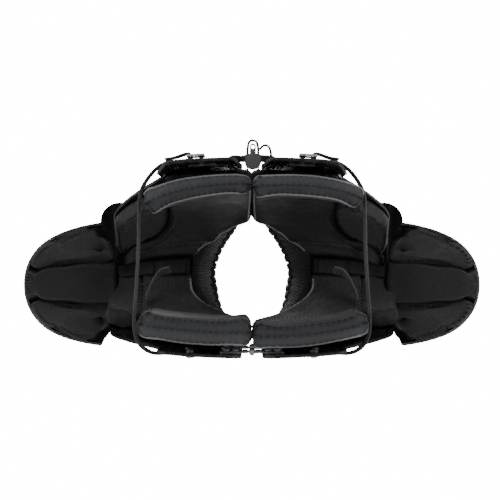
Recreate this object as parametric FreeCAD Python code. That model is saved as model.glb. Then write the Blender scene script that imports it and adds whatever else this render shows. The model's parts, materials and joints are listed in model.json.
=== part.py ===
import FreeCAD, Part

# Rigid-shell shoulder pads for a contact sport, built as two mirrored halves that open about a hinge at
# the back and lace together at the front.
#
# Frame: +Z up as worn, -Y is the wearer's chest, +X is the wearer's left.  The origin is on the middle
# plane, level with the lower edges of the chest and back plates.  All lengths are in millimetres.
#
# Each half is one moulded arch (chest plate, shoulder bridge, back plate) that carries cushions inside,
# a hinged epaulet and a hinged shoulder cup outside, and an elastic belt that hooks front to back.

import math
import os

from FreeCAD import Vector

# ---- driving dimensions -------------------------------------------------------------------------------
BALANCE_Y = 7.54             # final shift that puts the origin midway between the front and back extremes
CHEST_FACE_Y = -108.0        # outer face of the chest plates on the middle plane
BACK_FACE_Y = 114.5          # outer face of the back plates on the middle plane
CHEST_WRAP = 6.6e-6          # the chest plates curve back with the cube of the distance from the middle
BACK_WRAP = 0.0005           # the back plates curve forward with its square
PLATE_TOP_Z = 135.0          # the plates stand straight up to here, then the bridge curves over
CROWN_Z = 268.0              # height of the bridge on the middle plane, before it slopes outwards
CROWN_SLOPE = 0.0008         # fall of the bridge with distance from the middle, 1/mm
ARCH_THICKNESS = 3.2
ARCH_INNER_X = 11.5          # half the gap between the two halves
PLATE_OUTER_X = 106.0        # outer edge of the plates at their lower edge
CORNER_R = 13.0              # rounding of the plates' lower corners
FOOT_TRIM = 3.0              # cut off the moulding below the origin, so that the plates stand on flat edges
BRIDGE_OUTER_X = 174.0       # outer edge of the bridge at the shoulder
FRONT_FLARE = (155.0, 225.0)                # heights between which the chest side widens to the shoulder
BACK_FLARE = (45.0, 175.0)
NECK_Y, NECK_HALF_WIDTH = 22.0, 77.0     # where the neck opening in the arches is widest
NECK_FRONT_REACH, NECK_BACK_REACH = 90.0, 75.0
EDGE_ROLL_WIDTH = 12.0       # the chest plates' upright edges roll back towards the wearer
INNER_EDGE_ROLL, OUTER_EDGE_ROLL = 8.0, 10.0
BEAD_HEIGHT, BEAD_INSET = 1.6, 10.0      # stiffening bead that follows the arch's outer edge

PAD_GAP = 0.8                # clearance between neighbouring cushions
PAD_INNER_X = 1.8            # half the gap between the left and right cushions
FRONT_PAD_STANDOFF, FRONT_PAD_THICKNESS, FRONT_PAD_SPLAY = 17.2, 24.0, 0.05
BACK_PAD_STANDOFF, BACK_PAD_THICKNESS = 12.5, 29.0
FRONT_PAD_OUTER_X, BACK_PAD_OUTER_X = 132.0, 131.0
LINER_STANDOFF, LINER_THICKNESS = 5.5, 22.0
CHANNEL_THICKNESS = 9.0

HINGE_Y = 109.2              # axis of the back hinge, on the middle plane
HINGE_PIN_R, HINGE_CLEARANCE = 1.5, 0.05
KNUCKLE_R, LEAF_THICKNESS = 3.4, 2.0
HINGE_BOTTOMS = (22.0, 88.0)             # lower end of each back hinge
HINGE_LENGTH = 34.0

EPAULET_AXIS_X, EPAULET_AXIS_Z = 88.0, 270.5
EPAULET_INNER_X, EPAULET_OUTER_X = 94.0, 194.0
EPAULET_FRONT_Y, EPAULET_BACK_Y = -66.0, 88.0
EPAULET_LIFT = 9.5           # height of its inner edge over the bridge
EPAULET_FLARE = 0.20         # extra height for each millimetre outwards

CUP_AXIS_X, CUP_AXIS_Z = 163.0, 254.0
CUP_ORIGIN = Vector(130, 36, 170)        # centre of the cup's ellipsoid
CUP_DROOP = math.radians(28)             # the cup's long axis points this far below level
CUP_LENGTH, CUP_HALF_WIDTH, CUP_HEIGHT = 152.0, 80.0, 87.0
CUP_FULLNESS = 0.72          # below 1, the cup keeps its girth further towards its tip
CUP_THICKNESS = 3.0

BELT_WIDTH, BELT_THICKNESS = 32.0, 1.6
BELT_BOTTOM_Z = 22.0
LACE_R = 1.5
LACE_LEVELS = (34.0, 62.0, 90.0, 118.0)
LACE_HOLE_X = 25.0
LACE_HOLE_R = 3.2

ACCESSORY_HOLE_X, ACCESSORY_HOLE_R = 48.0, 2.75
ACCESSORY_LEVELS = (20.0, 60.0)
RIVET_R, RIVET_HEAD_R, RIVET_HOLE_R = 2.0, 4.6, 2.1

LOCK_X = 1.0                 # the cord lock hangs in the gap between the chest plates
LOCK_Z = 14.0
LOCK_REAR_Y, LOCK_THROAT_Y, LOCK_TIP_Y = -95.0, -112.5, -124.0
LOCK_RADIUS, LOCK_HALF_THICKNESS = 9.2, 4.5
PLUNGER_HALF_WIDTH, PLUNGER_TRAVEL = 3.4, 3.5
CORD_OFFSET = 5.9            # two cord strands run this far either side of the plunger

UP = Vector(0, 0, 1)
FORWARD = Vector(0, -1, 0)


# ---- surfaces -----------------------------------------------------------------------------------------
def smooth(value, low, high):
    """0 below low, 1 above high, and an easy curve between."""
    share = min(1.0, max(0.0, (value - low) / (high - low)))
    return share * share * (3 - 2 * share)


def spread(low, high, count):
    """count numbers from low to high, evenly spaced."""
    return [low + (high - low) * i / (count - 1) for i in range(count)]


def ridge(x, centre, height, width):
    return height * math.exp(-((x - centre) / width) ** 2)


def chest_y(x):
    return CHEST_FACE_Y + CHEST_WRAP * abs(x) ** 3


def back_y(x):
    return BACK_FACE_Y - BACK_WRAP * x * x


def arch_face(x, along):
    """Point on the arch's outer face.  along runs 0 to 1 up the chest plate, 1 to 2 over, 2 to 3 down."""
    if along <= 1:
        return Vector(x, chest_y(x), PLATE_TOP_Z * along)
    if along >= 2:
        return Vector(x, back_y(x), PLATE_TOP_Z * (3 - along))
    turn = math.pi * (along - 1)
    middle = (chest_y(x) + back_y(x)) / 2
    half_depth = (back_y(x) - chest_y(x)) / 2
    rise = CROWN_Z - CROWN_SLOPE * x * x - PLATE_TOP_Z
    return Vector(x, middle - half_depth * math.cos(turn), PLATE_TOP_Z + rise * math.sin(turn))


def arch_normal(x, along):
    """Unit normal of the arch's outer face, pointing away from the wearer."""
    step = 0.01
    across = arch_face(x + step, along) - arch_face(x - step, along)
    over = arch_face(x, along + step) - arch_face(x, along - step)
    normal = over.cross(across)
    return -normal.normalize()


def arch_point(x, along, depth=0.0):
    """Point depth millimetres inside the arch's outer face; a negative depth is outside it."""
    return arch_face(x, along) - arch_normal(x, along) * depth


def along_of(y):
    """The value of along where the bridge crosses y, measured at the middle of the shoulder's width."""
    x = 120.0
    middle = (chest_y(x) + back_y(x)) / 2
    half_depth = (back_y(x) - chest_y(x)) / 2
    return 1 + math.acos((middle - y) / half_depth) / math.pi


def cup_point(tilt, lean, depth=0.0):
    """Point of the cup: tilt runs from its hinge side (0) to its tip (90), lean from front to back."""
    tilt, lean = math.radians(tilt), math.radians(lean)
    length, width, height = CUP_LENGTH - depth, CUP_HALF_WIDTH - depth, CUP_HEIGHT - depth
    out = Vector(math.cos(CUP_DROOP), 0, -math.sin(CUP_DROOP))
    top = Vector(math.sin(CUP_DROOP), 0, math.cos(CUP_DROOP))
    taper = math.cos(tilt) ** CUP_FULLNESS
    local = out * (length * math.sin(tilt)) + top * (height * taper * math.cos(lean))
    return CUP_ORIGIN + local + Vector(0, width * taper * math.sin(lean), 0)


def surface(grid):
    """B-spline surface through a grid of points."""
    face = Part.BSplineSurface()
    face.interpolate(grid)
    return face


def solid_between(outer, inner):
    """Closed solid between two grids of the same layout."""
    surfaces = [surface(outer), surface(inner)]
    faces = [s.toShape() for s in surfaces]
    for name in ("uIso", "vIso"):
        low, high = (0, 1) if name == "uIso" else (2, 3)
        for end in (low, high):
            edges = [getattr(s, name)(s.bounds()[end]).toShape() for s in surfaces]
            faces.append(Part.makeRuledSurface(*edges))
    shell = Part.makeShell(faces)
    shell.sewShape()
    solid = Part.makeSolid(shell)
    if solid.Volume < 0:
        solid.reverse()
    return solid


def arch_patch(xs, alongs, near, far, splay=0.0):
    """Solid that follows the arch between two depths, which both grow by splay per millimetre outwards.
    xs(along) gives the x values of one row."""
    outer = [[arch_point(x, a, near + splay * x) for x in xs(a)] for a in alongs]
    inner = [[arch_point(x, a, far + splay * x) for x in xs(a)] for a in alongs]
    return solid_between(outer, inner)


def band(path, bottom, width, thickness, samples=60):
    """Webbing on edge: a ribbon of the given width and thickness along a smooth path in the XY plane."""
    curve = Part.BSplineCurve()
    curve.interpolate([Vector(x, y, bottom) for x, y in path])
    first, last = curve.FirstParameter, curve.LastParameter
    sides = []
    for offset in (thickness / 2, -thickness / 2):
        line = []
        for parameter in spread(first, last, samples):
            tangent = Vector(*curve.tangent(parameter)[0])
            line.append(curve.value(parameter) + tangent.cross(UP).normalize() * offset)
        sides.append(line)
    edges = []
    for line in sides:
        side = Part.BSplineCurve()
        side.interpolate(line)
        edges.append(side.toShape())
    edges.append(Part.makeLine(sides[0][0], sides[1][0]))
    edges.append(Part.makeLine(sides[0][-1], sides[1][-1]))
    wire = Part.Wire(Part.sortEdges(edges)[0])
    return Part.Face(wire).extrude(UP * width)


def pipe(curve, radius):
    start = Vector(*curve.tangent(curve.FirstParameter)[0])
    ring = Part.Wire([Part.makeCircle(radius, curve.StartPoint, start)])
    return Part.Wire([curve.toShape()]).makePipeShell([ring], True, False)


def cord(points, radius):
    """Round cord along a smooth path."""
    curve = Part.BSplineCurve()
    curve.interpolate(points)
    return pipe(curve, radius)


def rod(radius, start, end):
    return Part.makeCylinder(radius, (end - start).Length, start, end - start)


def box(low, high):
    size = [h - l for l, h in zip(low, high)]
    return Part.makeBox(*size, Vector(*low))


def rounded_box(low, high, radius, direction):
    """Box whose edges along direction are rounded."""
    block = box(low, high)
    edges = [e for e in block.Edges if abs(e.tangentAt(0).dot(direction)) > 0.99]
    return block.makeFillet(radius, edges)


def neck_edge(turn, inset=0.0):
    """Point (x, y) on the neck opening's edge; turn runs from 0 at the front to 180 at the back."""
    power = 4 / 3 if turn < 90 else 1.0
    reach = NECK_FRONT_REACH if turn < 90 else NECK_BACK_REACH
    turn = math.radians(turn)
    share = abs(math.cos(turn)) ** power
    y = NECK_Y - math.copysign((reach - inset) * share, math.cos(turn))
    return (NECK_HALF_WIDTH - inset) * abs(math.sin(turn)) ** power, y


def neck_column():
    """Upright column that the neck passes through: drawn to a soft point in front, rounder behind."""
    left = [neck_edge(turn) for turn in spread(0, 180, 25)]
    right = [(-x, y) for x, y in reversed(left[1:-1])]
    curve = Part.BSplineCurve()
    curve.interpolate([Vector(x, y, 60) for x, y in left + right], PeriodicFlag=True)
    return Part.Face(Part.Wire([curve.toShape()])).extrude(UP * 300)


def mirrored(shape):
    return shape.mirror(Vector(0, 0, 0), Vector(1, 0, 0))


# ---- fasteners ----------------------------------------------------------------------------------------
def rivet(x, along, near, far):
    """Rivet along the arch's normal: head outside depth near, shank through, washer inside depth far."""
    normal = arch_normal(x, along)
    start, end = arch_point(x, along, near), arch_point(x, along, far)
    shank = rod(RIVET_R, start + normal * 0.9, end - normal * 1.2)
    dome_r = 7.0
    dome_centre = start - normal * (dome_r - 2.2)
    cap = Part.makeSphere(dome_r, dome_centre)
    head = cap.common(rod(RIVET_HEAD_R, start + normal * 0.12, start + normal * 6))
    washer = rod(RIVET_HEAD_R, end - normal * 0.25, end - normal * 1.3)
    return shank.fuse([head, washer])


def rivet_hole(x, along):
    return rod(RIVET_HOLE_R, arch_point(x, along, -12), arch_point(x, along, 12))


# Rivets through the back plate and the chest plate as (x, height), and through the bridge as (x, y).
HINGE_RIVETS = [(x, bottom + h) for x in (18.0, 29.0) for bottom in HINGE_BOTTOMS for h in (8.0, 26.0)]
BELT_ANCHORS = [(70.0, 30.0), (70.0, 46.0)]
BACK_PAD_STUDS = [(24.0, 72.0), (73.0, 74.0)]
CHEST_PAD_STUDS = [(40.0, 82.0), (88.0, 70.0)]
BRACKET_RIVETS = [(100.5, -5.0), (100.5, 29.0), (152.5, 14.0), (152.5, 26.0)]


def back_along(z):
    return 3 - z / PLATE_TOP_Z


# ---- hard parts ---------------------------------------------------------------------------------------
def arch_outer_x(along):
    """The plates are narrow at their lower edges and flare out to cover the shoulder: high up in front,
    where the arm swings, and lower behind."""
    height = arch_face(100, along).z
    flare = smooth(height, *(FRONT_FLARE if along < 1.5 else BACK_FLARE))
    return PLATE_OUTER_X + (BRIDGE_OUTER_X - PLATE_OUTER_X) * flare


def corner_cutter(edge_x, inwards):
    """What rounding takes from a plate's lower corner; inwards is 1 or -1, towards the plate's middle."""
    far_x = edge_x + inwards * CORNER_R
    low_x, high_x = sorted((edge_x - inwards, far_x))
    block = box((low_x, -200, -2 * FOOT_TRIM), (high_x, 200, CORNER_R))
    return block.cut(rod(CORNER_R, Vector(far_x, -200, CORNER_R), Vector(far_x, 200, CORNER_R)))


def belt_slot():
    """Upright slot in the chest plate that the belt's T-hook turns in."""
    slot = rounded_box((-3.2, -20, -19), (3.2, 20, 19), 3.0, Vector(0, 1, 0))
    return hook_place(slot)


def moulded_face(x, along):
    """The arch's outer face with its rolled edges and its bead, before the neck and the holes are cut."""
    height = PLATE_TOP_Z * along
    rolled = 1 - smooth(height, 55, 115)
    inner = max(0.0, 1 - (x - ARCH_INNER_X) / EDGE_ROLL_WIDTH)
    outer = max(0.0, 1 - (arch_outer_x(along) - x) / EDGE_ROLL_WIDTH)
    roll = rolled * (INNER_EDGE_ROLL * inner ** 2 + OUTER_EDGE_ROLL * outer ** 2)
    upright = min(height, PLATE_TOP_Z * (3 - along))
    clear_of_belt = smooth(upright, 62, 92)
    clear_of_bracket = smooth(abs(along - 1.55), 0.10, 0.20)
    bead = ridge(x, arch_outer_x(along) - BEAD_INSET, BEAD_HEIGHT, 3.0)
    face = arch_face(x, along) + Vector(0, roll, 0)
    return face + arch_normal(x, along) * (bead * clear_of_belt * clear_of_bracket)


def moulded_grid(xs, alongs, depth):
    grid = []
    for along in alongs:
        row = []
        for x in xs(along):
            across = moulded_face(x + 0.05, along) - moulded_face(x - 0.05, along)
            over = moulded_face(x, along + 0.001) - moulded_face(x, along - 0.001)
            row.append(moulded_face(x, along) - across.cross(over).normalize() * depth)
        grid.append(row)
    return grid


def arch_columns(along):
    """x values across the arch, closer together over the rolled inner edge and the bead."""
    bead_start = arch_outer_x(along) - 2 * BEAD_INSET
    inner = [ARCH_INNER_X + (bead_start - ARCH_INNER_X) * share ** 1.5 for share in spread(0, 1, 12)]
    return inner + spread(bead_start, arch_outer_x(along), 12)[1:]


def arch():
    """One moulding, from the chest plate over the shoulder to the back plate; its feet are cut level."""
    foot = FOOT_TRIM / PLATE_TOP_Z
    alongs = spread(-foot, 1, 10) + spread(1, 2, 23)[1:] + spread(2, 3 + foot, 10)[1:]
    shell = solid_between(moulded_grid(arch_columns, alongs, 0),
                          moulded_grid(arch_columns, alongs, ARCH_THICKNESS))
    below = box((0, -200, -2 * FOOT_TRIM), (200, 200, 0))
    trims = [below, neck_column(), corner_cutter(ARCH_INNER_X, 1), corner_cutter(PLATE_OUTER_X, -1)]
    holes = [rivet_hole(x, back_along(z)) for x, z in HINGE_RIVETS + BELT_ANCHORS + BACK_PAD_STUDS]
    holes += [rivet_hole(x, z / PLATE_TOP_Z) for x, z in CHEST_PAD_STUDS]
    holes += [rivet_hole(x, along_of(y)) for x, y in BRACKET_RIVETS]
    for z in LACE_LEVELS:
        holes.append(rod(LACE_HOLE_R, Vector(LACE_HOLE_X, -140, z), Vector(LACE_HOLE_X, -80, z)))
    for z in ACCESSORY_LEVELS:
        start = Vector(ACCESSORY_HOLE_X, 90, z)
        holes.append(rod(ACCESSORY_HOLE_R, start, start + Vector(0, 50, 0)))
    return shell.cut(trims + holes + [belt_slot()])


def bracket(axis_x, axis_z, x_low, x_high, ears):
    """Hinge bracket on the bridge: a base that follows the arch and two ears with bores for the pin."""
    y_low, y_high = ears[0][0] - 4, ears[-1][1] + 4
    alongs = spread(along_of(y_low), along_of(y_high), 5)
    base = arch_patch(lambda a: spread(x_low, x_high, 3), alongs, -2.6, -0.1)
    keep_out = arch_patch(lambda a: spread(x_low - 25, x_high + 25, 5),
                          spread(along_of(y_low - 20), along_of(y_high + 20), 7), -1.3, 40)
    parts = []
    for low, high in ears:
        ear = rod(5.0, Vector(axis_x, low, axis_z), Vector(axis_x, high, axis_z))
        foot = box((max(x_low, axis_x - 5), low, axis_z - 40), (axis_x + 5, high, axis_z))
        parts += [ear, foot.cut(keep_out)]
    solid = base.fuse(parts).removeSplitter()
    bore = rod(HINGE_PIN_R, Vector(axis_x, y_low, axis_z), Vector(axis_x, y_high, axis_z))
    holes = [rivet_hole(x, along_of(y)) for x, y in BRACKET_RIVETS if x_low < x < x_high]
    return solid.cut([bore] + holes)


def pivot_pin(axis_x, axis_z, low, high):
    """Pin pressed into the ears, with a head at each end."""
    shank = rod(HINGE_PIN_R, Vector(axis_x, low - 0.2, axis_z), Vector(axis_x, high + 0.2, axis_z))
    heads = [rod(2.6, Vector(axis_x, low - 1.6, axis_z), Vector(axis_x, low - 0.1, axis_z)),
             rod(2.6, Vector(axis_x, high + 0.1, axis_z), Vector(axis_x, high + 1.6, axis_z))]
    return shank.fuse(heads)


EPAULET_EARS = ((-8.0, -3.0), (27.0, 32.0))
CUP_EARS = ((3.0, 8.0), (32.0, 37.0))


def epaulet_depth(x):
    raised = sum(ridge(x, centre, 2.2, 5.0) for centre in (122, 146, 170))
    return -(EPAULET_LIFT + EPAULET_FLARE * (x - EPAULET_INNER_X) + raised)


def epaulet():
    alongs = spread(along_of(EPAULET_FRONT_Y - 8), along_of(EPAULET_BACK_Y + 6), 17)
    xs = spread(EPAULET_INNER_X - 4, EPAULET_OUTER_X + 6, 45)
    outer = [[arch_point(x, a, epaulet_depth(x) - 2.6) for x in xs] for a in alongs]
    inner = [[arch_point(x, a, epaulet_depth(x)) for x in xs] for a in alongs]
    flap = solid_between(outer, inner)
    outline = rounded_box((EPAULET_INNER_X, EPAULET_FRONT_Y, 100),
                          (EPAULET_OUTER_X, EPAULET_BACK_Y, 400), 26, UP)
    flap = flap.common(outline)
    low, high = EPAULET_EARS[0][1] + 0.3, EPAULET_EARS[1][0] - 0.3
    axis_low, axis_high = (Vector(EPAULET_AXIS_X, y, EPAULET_AXIS_Z) for y in (low, high))
    barrel = rod(4.2, axis_low, axis_high)
    web = box((EPAULET_AXIS_X, low, EPAULET_AXIS_Z - 1.6), (EPAULET_INNER_X + 12, high, EPAULET_AXIS_Z + 2))
    bore = rod(HINGE_PIN_R + HINGE_CLEARANCE, axis_low - FORWARD * -3, axis_high + FORWARD * -3)
    return flap.fuse([barrel, web]).removeSplitter().cut(bore)


CUP_LEAN = 80.0              # the cup's lower corners are this far round from its top


def cup_tilts(lean, start_extra):
    """The cup reaches from its hinge to its rounded lower edge, and is shorter towards its corners."""
    corner = abs(lean) / CUP_LEAN
    return spread(3.0 + 17.5 * corner ** 1.6 + start_extra, 69 - 19 * corner ** 2.4, 15)


def cup_patch(leans, near, far, start_extra=0.0):
    """Solid that follows the cup between two depths."""
    def rows(depth):
        return [[cup_point(tilt, lean, depth) for tilt in cup_tilts(lean, start_extra)] for lean in leans]
    return solid_between(rows(near), rows(far))


def cup_shell():
    shell = cup_patch(spread(-CUP_LEAN, CUP_LEAN, 21), 0, CUP_THICKNESS)
    low, high = CUP_EARS[0][1] + 0.3, CUP_EARS[1][0] - 0.3
    axis_low, axis_high = (Vector(CUP_AXIS_X, y, CUP_AXIS_Z) for y in (low, high))
    barrel = rod(4.0, axis_low, axis_high)
    reach = Vector(24, 0, -14)
    profile = Part.makePolygon([axis_low + UP * 2.4, axis_low + reach + UP * 0.5,
                                axis_low + reach - UP * 4.5, axis_low - UP * 1.6, axis_low + UP * 2.4])
    web = Part.Face(profile).extrude(axis_high - axis_low)
    solid = shell.fuse([barrel, web]).removeSplitter()
    bore = rod(HINGE_PIN_R + HINGE_CLEARANCE, axis_low - Vector(0, 3, 0), axis_high + Vector(0, 3, 0))
    return solid.cut(bore)


def hinge_leaf(side, knuckles):
    """Leaf of the back hinges on one side (side 1 is the wearer's left), one solid at each level."""
    leaves = []
    for bottom in HINGE_BOTTOMS:
        top = bottom + HINGE_LENGTH
        near, far = HINGE_Y - LEAF_THICKNESS / 2, HINGE_Y + LEAF_THICKNESS / 2
        plate = rounded_box((4.4, near, bottom), (36.0, far, top), 3, Vector(0, 1, 0))
        parts = []
        for low, high in knuckles:
            axis = Vector(0, HINGE_Y, bottom + low)
            parts.append(rod(KNUCKLE_R, axis, Vector(0, HINGE_Y, bottom + high)))
            parts.append(box((0, near, bottom + low), (8.0, far, bottom + high)))
        leaf = plate.fuse(parts).removeSplitter()
        bore = rod(HINGE_PIN_R + HINGE_CLEARANCE, Vector(0, HINGE_Y, bottom - 1), Vector(0, HINGE_Y, top + 1))
        leaf = leaf.cut([bore] + [rivet_hole(x, back_along(z)) for x, z in HINGE_RIVETS])
        leaves.append(leaf if side > 0 else mirrored(leaf))
    return Part.makeCompound(leaves)


def hinge_pins():
    pins = []
    for bottom in HINGE_BOTTOMS:
        low, high = Vector(0, HINGE_Y, bottom - 0.6), Vector(0, HINGE_Y, bottom + HINGE_LENGTH + 0.6)
        shank = rod(HINGE_PIN_R, low, high)
        heads = [rod(2.6, low - UP * 1.2, low), rod(2.6, high, high + UP * 1.2)]
        pins.append(shank.fuse(heads))
    return Part.makeCompound(pins)


def arch_rivets():
    """Rivets of one half: back hinge, belt anchor, pad studs and hinge brackets."""
    leaf_far = BACK_FACE_Y - HINGE_Y + LEAF_THICKNESS / 2 + 0.3
    rivets = [rivet(x, back_along(z), 0, leaf_far) for x, z in HINGE_RIVETS]
    rivets += [rivet(x, back_along(z), -2.3, ARCH_THICKNESS) for x, z in BELT_ANCHORS]
    rivets += [rivet(x, back_along(z), 0, ARCH_THICKNESS) for x, z in BACK_PAD_STUDS]
    rivets += [rivet(x, z / PLATE_TOP_Z, 0, ARCH_THICKNESS) for x, z in CHEST_PAD_STUDS]
    rivets += [rivet(x, along_of(y), -2.6, ARCH_THICKNESS) for x, y in BRACKET_RIVETS]
    return Part.makeCompound(rivets)


# ---- belt and its hook --------------------------------------------------------------------------------
HOOK_X, HOOK_Z = 57.0, BELT_BOTTOM_Z + BELT_WIDTH / 2
HOOK_REACH = 13.0            # distance from the slot to the bar that the belt folds round


def hook_place(shape):
    """Moves a shape from the hook's frame (y outwards is negative) to its slot in the chest plate."""
    normal = arch_normal(HOOK_X, HOOK_Z / PLATE_TOP_Z)
    turn = math.degrees(math.atan2(normal.x, -normal.y))
    placed = shape.copy()
    placed.rotate(Vector(0, 0, 0), UP, turn)
    placed.translate(arch_face(HOOK_X, HOOK_Z / PLATE_TOP_Z))
    return placed


def belt_hook():
    """T-hook: the bar behind the plate, a stem through the slot and a ring outside for the belt."""
    half = BELT_WIDTH / 2
    bar = rounded_box((-15, ARCH_THICKNESS + 0.8, -3), (15, ARCH_THICKNESS + 3.3, 3), 1, Vector(0, 1, 0))
    stem = box((-2.4, -4.6, -3), (2.4, ARCH_THICKNESS + 1.5, 3))
    ring = rounded_box((-4, -6.6, -half - 4), (HOOK_REACH + 3, -4.2, half + 4), 3, Vector(0, 1, 0))
    opening = box((3, -8, -half - 1), (HOOK_REACH, 0, half + 1))
    return hook_place(bar.fuse([stem, ring.cut(opening)]).removeSplitter())


def belt():
    """Elastic belt: folded round the hook's bar, along the sides of the cushions, to the back plate."""
    tail = [(98.0, -107.8), (91.0, -108.8), (84.0, -110.6), (77.0, -113.2)]
    fold = [(71.6, -114.2), (68.4, -112.8), (67.6, -110.2), (69.4, -107.9), (73.0, -107.0)]
    chest = [(x, chest_y(x) - 1.8) for x in (80.0, 90.0, 98.0)]
    side = [(106.5, -98.5), (113.5, -91.5), (121.0, -81.0), (126.4, -68.0), (127.6, -45.0), (128.2, -10.0)]
    rear = [(130.2, 30.0), (132.4, 60.0), (133.0, 78.0), (131.6, 90.0), (127.0, 100.5), (118.0, 108.2),
            (107.5, 111.3)]
    anchor = [(x, back_y(x) + 1.3) for x in (96.0, 80.0, 62.0)]
    ribbon = band(tail + fold + chest + side + rear + anchor, BELT_BOTTOM_Z, BELT_WIDTH, BELT_THICKNESS, 110)
    holes = [rivet_hole(x, back_along(z)) for x, z in BELT_ANCHORS]
    return ribbon.cut(holes)


def channel_strap():
    """Short webbing loop that hangs below the shoulder channel."""
    path = [(131.0, 55.0), (127.5, 43.0), (121.0, 30.0), (112.0, 22.0), (101.0, 19.0)]
    return band(path, 176, 22, 1.6, 30)


# ---- cushions -----------------------------------------------------------------------------------------
def front_pad():
    near = FRONT_PAD_STANDOFF
    return arch_patch(lambda a: spread(PAD_INNER_X, FRONT_PAD_OUTER_X, 9),
                      spread(5 / PLATE_TOP_Z, 118 / PLATE_TOP_Z, 6),
                      near, near + FRONT_PAD_THICKNESS, FRONT_PAD_SPLAY)


def back_pad():
    near = BACK_PAD_STANDOFF
    return arch_patch(lambda a: spread(PAD_INNER_X, BACK_PAD_OUTER_X, 9),
                      spread(3 - 118 / PLATE_TOP_Z, 3 - 5 / PLATE_TOP_Z, 6),
                      near, near + BACK_PAD_THICKNESS)


DELTOID_FRONT = (along_of(-80), along_of(-21))
DELTOID_BACK = (along_of(30), along_of(97))
CHANNEL = (along_of(10), along_of(27))
LINER_OUTER_X = 172.0
LINER_NECK_X = 79.0          # the liners' neck edge where the channel crosses it
COLLAR_BONE, NAPE = 1.345, 1.783     # where the liners' neck edge meets the middle, along the arch
CHANNEL_GAP = 0.006          # clearance either side of the channel, as a share of the quarter arc


def front_neck_x(along):
    """Neck edge of the front liner: from the middle at the collar bone out to the channel."""
    share = max(0.0, (along - COLLAR_BONE) / (CHANNEL[0] - COLLAR_BONE))
    return PAD_INNER_X + (LINER_NECK_X - PAD_INNER_X) * share ** 0.7


def back_neck_x(along):
    """Neck edge of the back liner: from the channel round to the middle at the nape."""
    share = max(0.0, 1 - (max(0.0, along - CHANNEL[1]) / (NAPE - CHANNEL[1])) ** 2.6)
    return PAD_INNER_X + (LINER_NECK_X - PAD_INNER_X) * share


def deltoid_inner_x(along):
    """Edge between the front shoulder cushion and the deltoid cushion: it curves round the lobe."""
    share = max(0.0, (along - DELTOID_FRONT[0]) / (DELTOID_FRONT[1] - DELTOID_FRONT[0]))
    return 108 + 50 * share ** 4


def front_liner():
    """Cushion from the chest pad up over the front of the shoulder, beside the deltoid cushion."""
    alongs = spread(0.93, DELTOID_FRONT[0], 9) + spread(*DELTOID_FRONT, 17)[1:]
    return arch_patch(lambda a: spread(front_neck_x(a), deltoid_inner_x(a) - 2 * PAD_GAP, 9),
                      alongs, LINER_STANDOFF, LINER_STANDOFF + LINER_THICKNESS)


def shoulder_liner():
    """Its continuation from the crease on top of the shoulder to the channel."""
    return arch_patch(lambda a: spread(front_neck_x(a), LINER_OUTER_X, 9),
                      spread(DELTOID_FRONT[1] + CHANNEL_GAP, CHANNEL[0] - CHANNEL_GAP, 5),
                      LINER_STANDOFF, LINER_STANDOFF + LINER_THICKNESS)


def deltoid_pad():
    return arch_patch(lambda a: spread(deltoid_inner_x(a), arch_outer_x(a) + 2, 7),
                      spread(*DELTOID_FRONT, 17), LINER_STANDOFF, LINER_STANDOFF + 19)


def channel_pad():
    return arch_patch(lambda a: spread(LINER_NECK_X + 1.5, LINER_OUTER_X, 7), spread(*CHANNEL, 5),
                      LINER_STANDOFF, LINER_STANDOFF + CHANNEL_THICKNESS)


def back_liner():
    """Cushion from the channel down the shoulder blade to the back pad."""
    return arch_patch(lambda a: spread(back_neck_x(a), 141.0, 9),
                      spread(CHANNEL[1] + CHANNEL_GAP, 2.05, 15),
                      LINER_STANDOFF, LINER_STANDOFF + LINER_THICKNESS)


def rear_deltoid_pad():
    return arch_patch(lambda a: spread(141.0 + PAD_GAP, BRIDGE_OUTER_X + 2, 5),
                      spread(*DELTOID_BACK, 9), LINER_STANDOFF, LINER_STANDOFF + 19)


CUP_CREASE = 31.0
CUP_PAD_STANDOFF, CUP_PAD_THICKNESS = 3.6, 17.0


def cup_pad(low, high):
    return cup_patch(spread(low, high, 9), CUP_PAD_STANDOFF, CUP_PAD_STANDOFF + CUP_PAD_THICKNESS, 8.0)


COLLAR_INSET, COLLAR_THICKNESS, COLLAR_LEAN = 3.5, 4.0, 19.0


def bridge_height(x, y):
    """Height of the arch's outer face over a point of the plan."""
    middle = (chest_y(x) + back_y(x)) / 2
    half_depth = (back_y(x) - chest_y(x)) / 2
    return arch_face(x, 1 + math.acos((middle - y) / half_depth) / math.pi).z


def collar():
    """Standing neck band of one half: it rises from the neck opening's edge and leans inwards."""
    outer, inner = [], []
    for turn in spread(24, 146, 23):
        tall = math.sin(math.radians(180 * (turn - 14) / 142))
        seat = bridge_height(*neck_edge(turn)) + 1.5
        rows = []
        for share in (0.0, 0.5, 1.0):
            inset = COLLAR_INSET + COLLAR_LEAN * share * (0.6 + 0.4 * tall)
            rows.append((inset, seat + share * (14 + 12 * tall)))
        outer.append([Vector(*neck_edge(turn, inset), z) for inset, z in rows])
        inner.append([Vector(*neck_edge(turn, inset + COLLAR_THICKNESS), z - 1.5) for inset, z in rows])
    return solid_between(outer, inner)


# ---- front lace and cord lock -------------------------------------------------------------------------
def lace():
    """One half of the front lace: at each level it comes through the hole and runs to the middle."""
    cords = []
    for level, z in enumerate(LACE_LEVELS):
        lean = 7 if level % 2 else -7
        front = chest_y(LACE_HOLE_X)
        path = [Vector(LACE_HOLE_X, front + ARCH_THICKNESS + 2.4, z),
                Vector(LACE_HOLE_X, front - 0.5, z),
                Vector(LACE_HOLE_X - 2.2, front - 3.0, z),
                Vector(LACE_HOLE_X - 8, front - 3.8, z + lean * 0.3),
                Vector(1.6, front - 3.4, z + lean)]
        cords.append(cord(path, LACE_R))
    return Part.makeCompound(cords)


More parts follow.
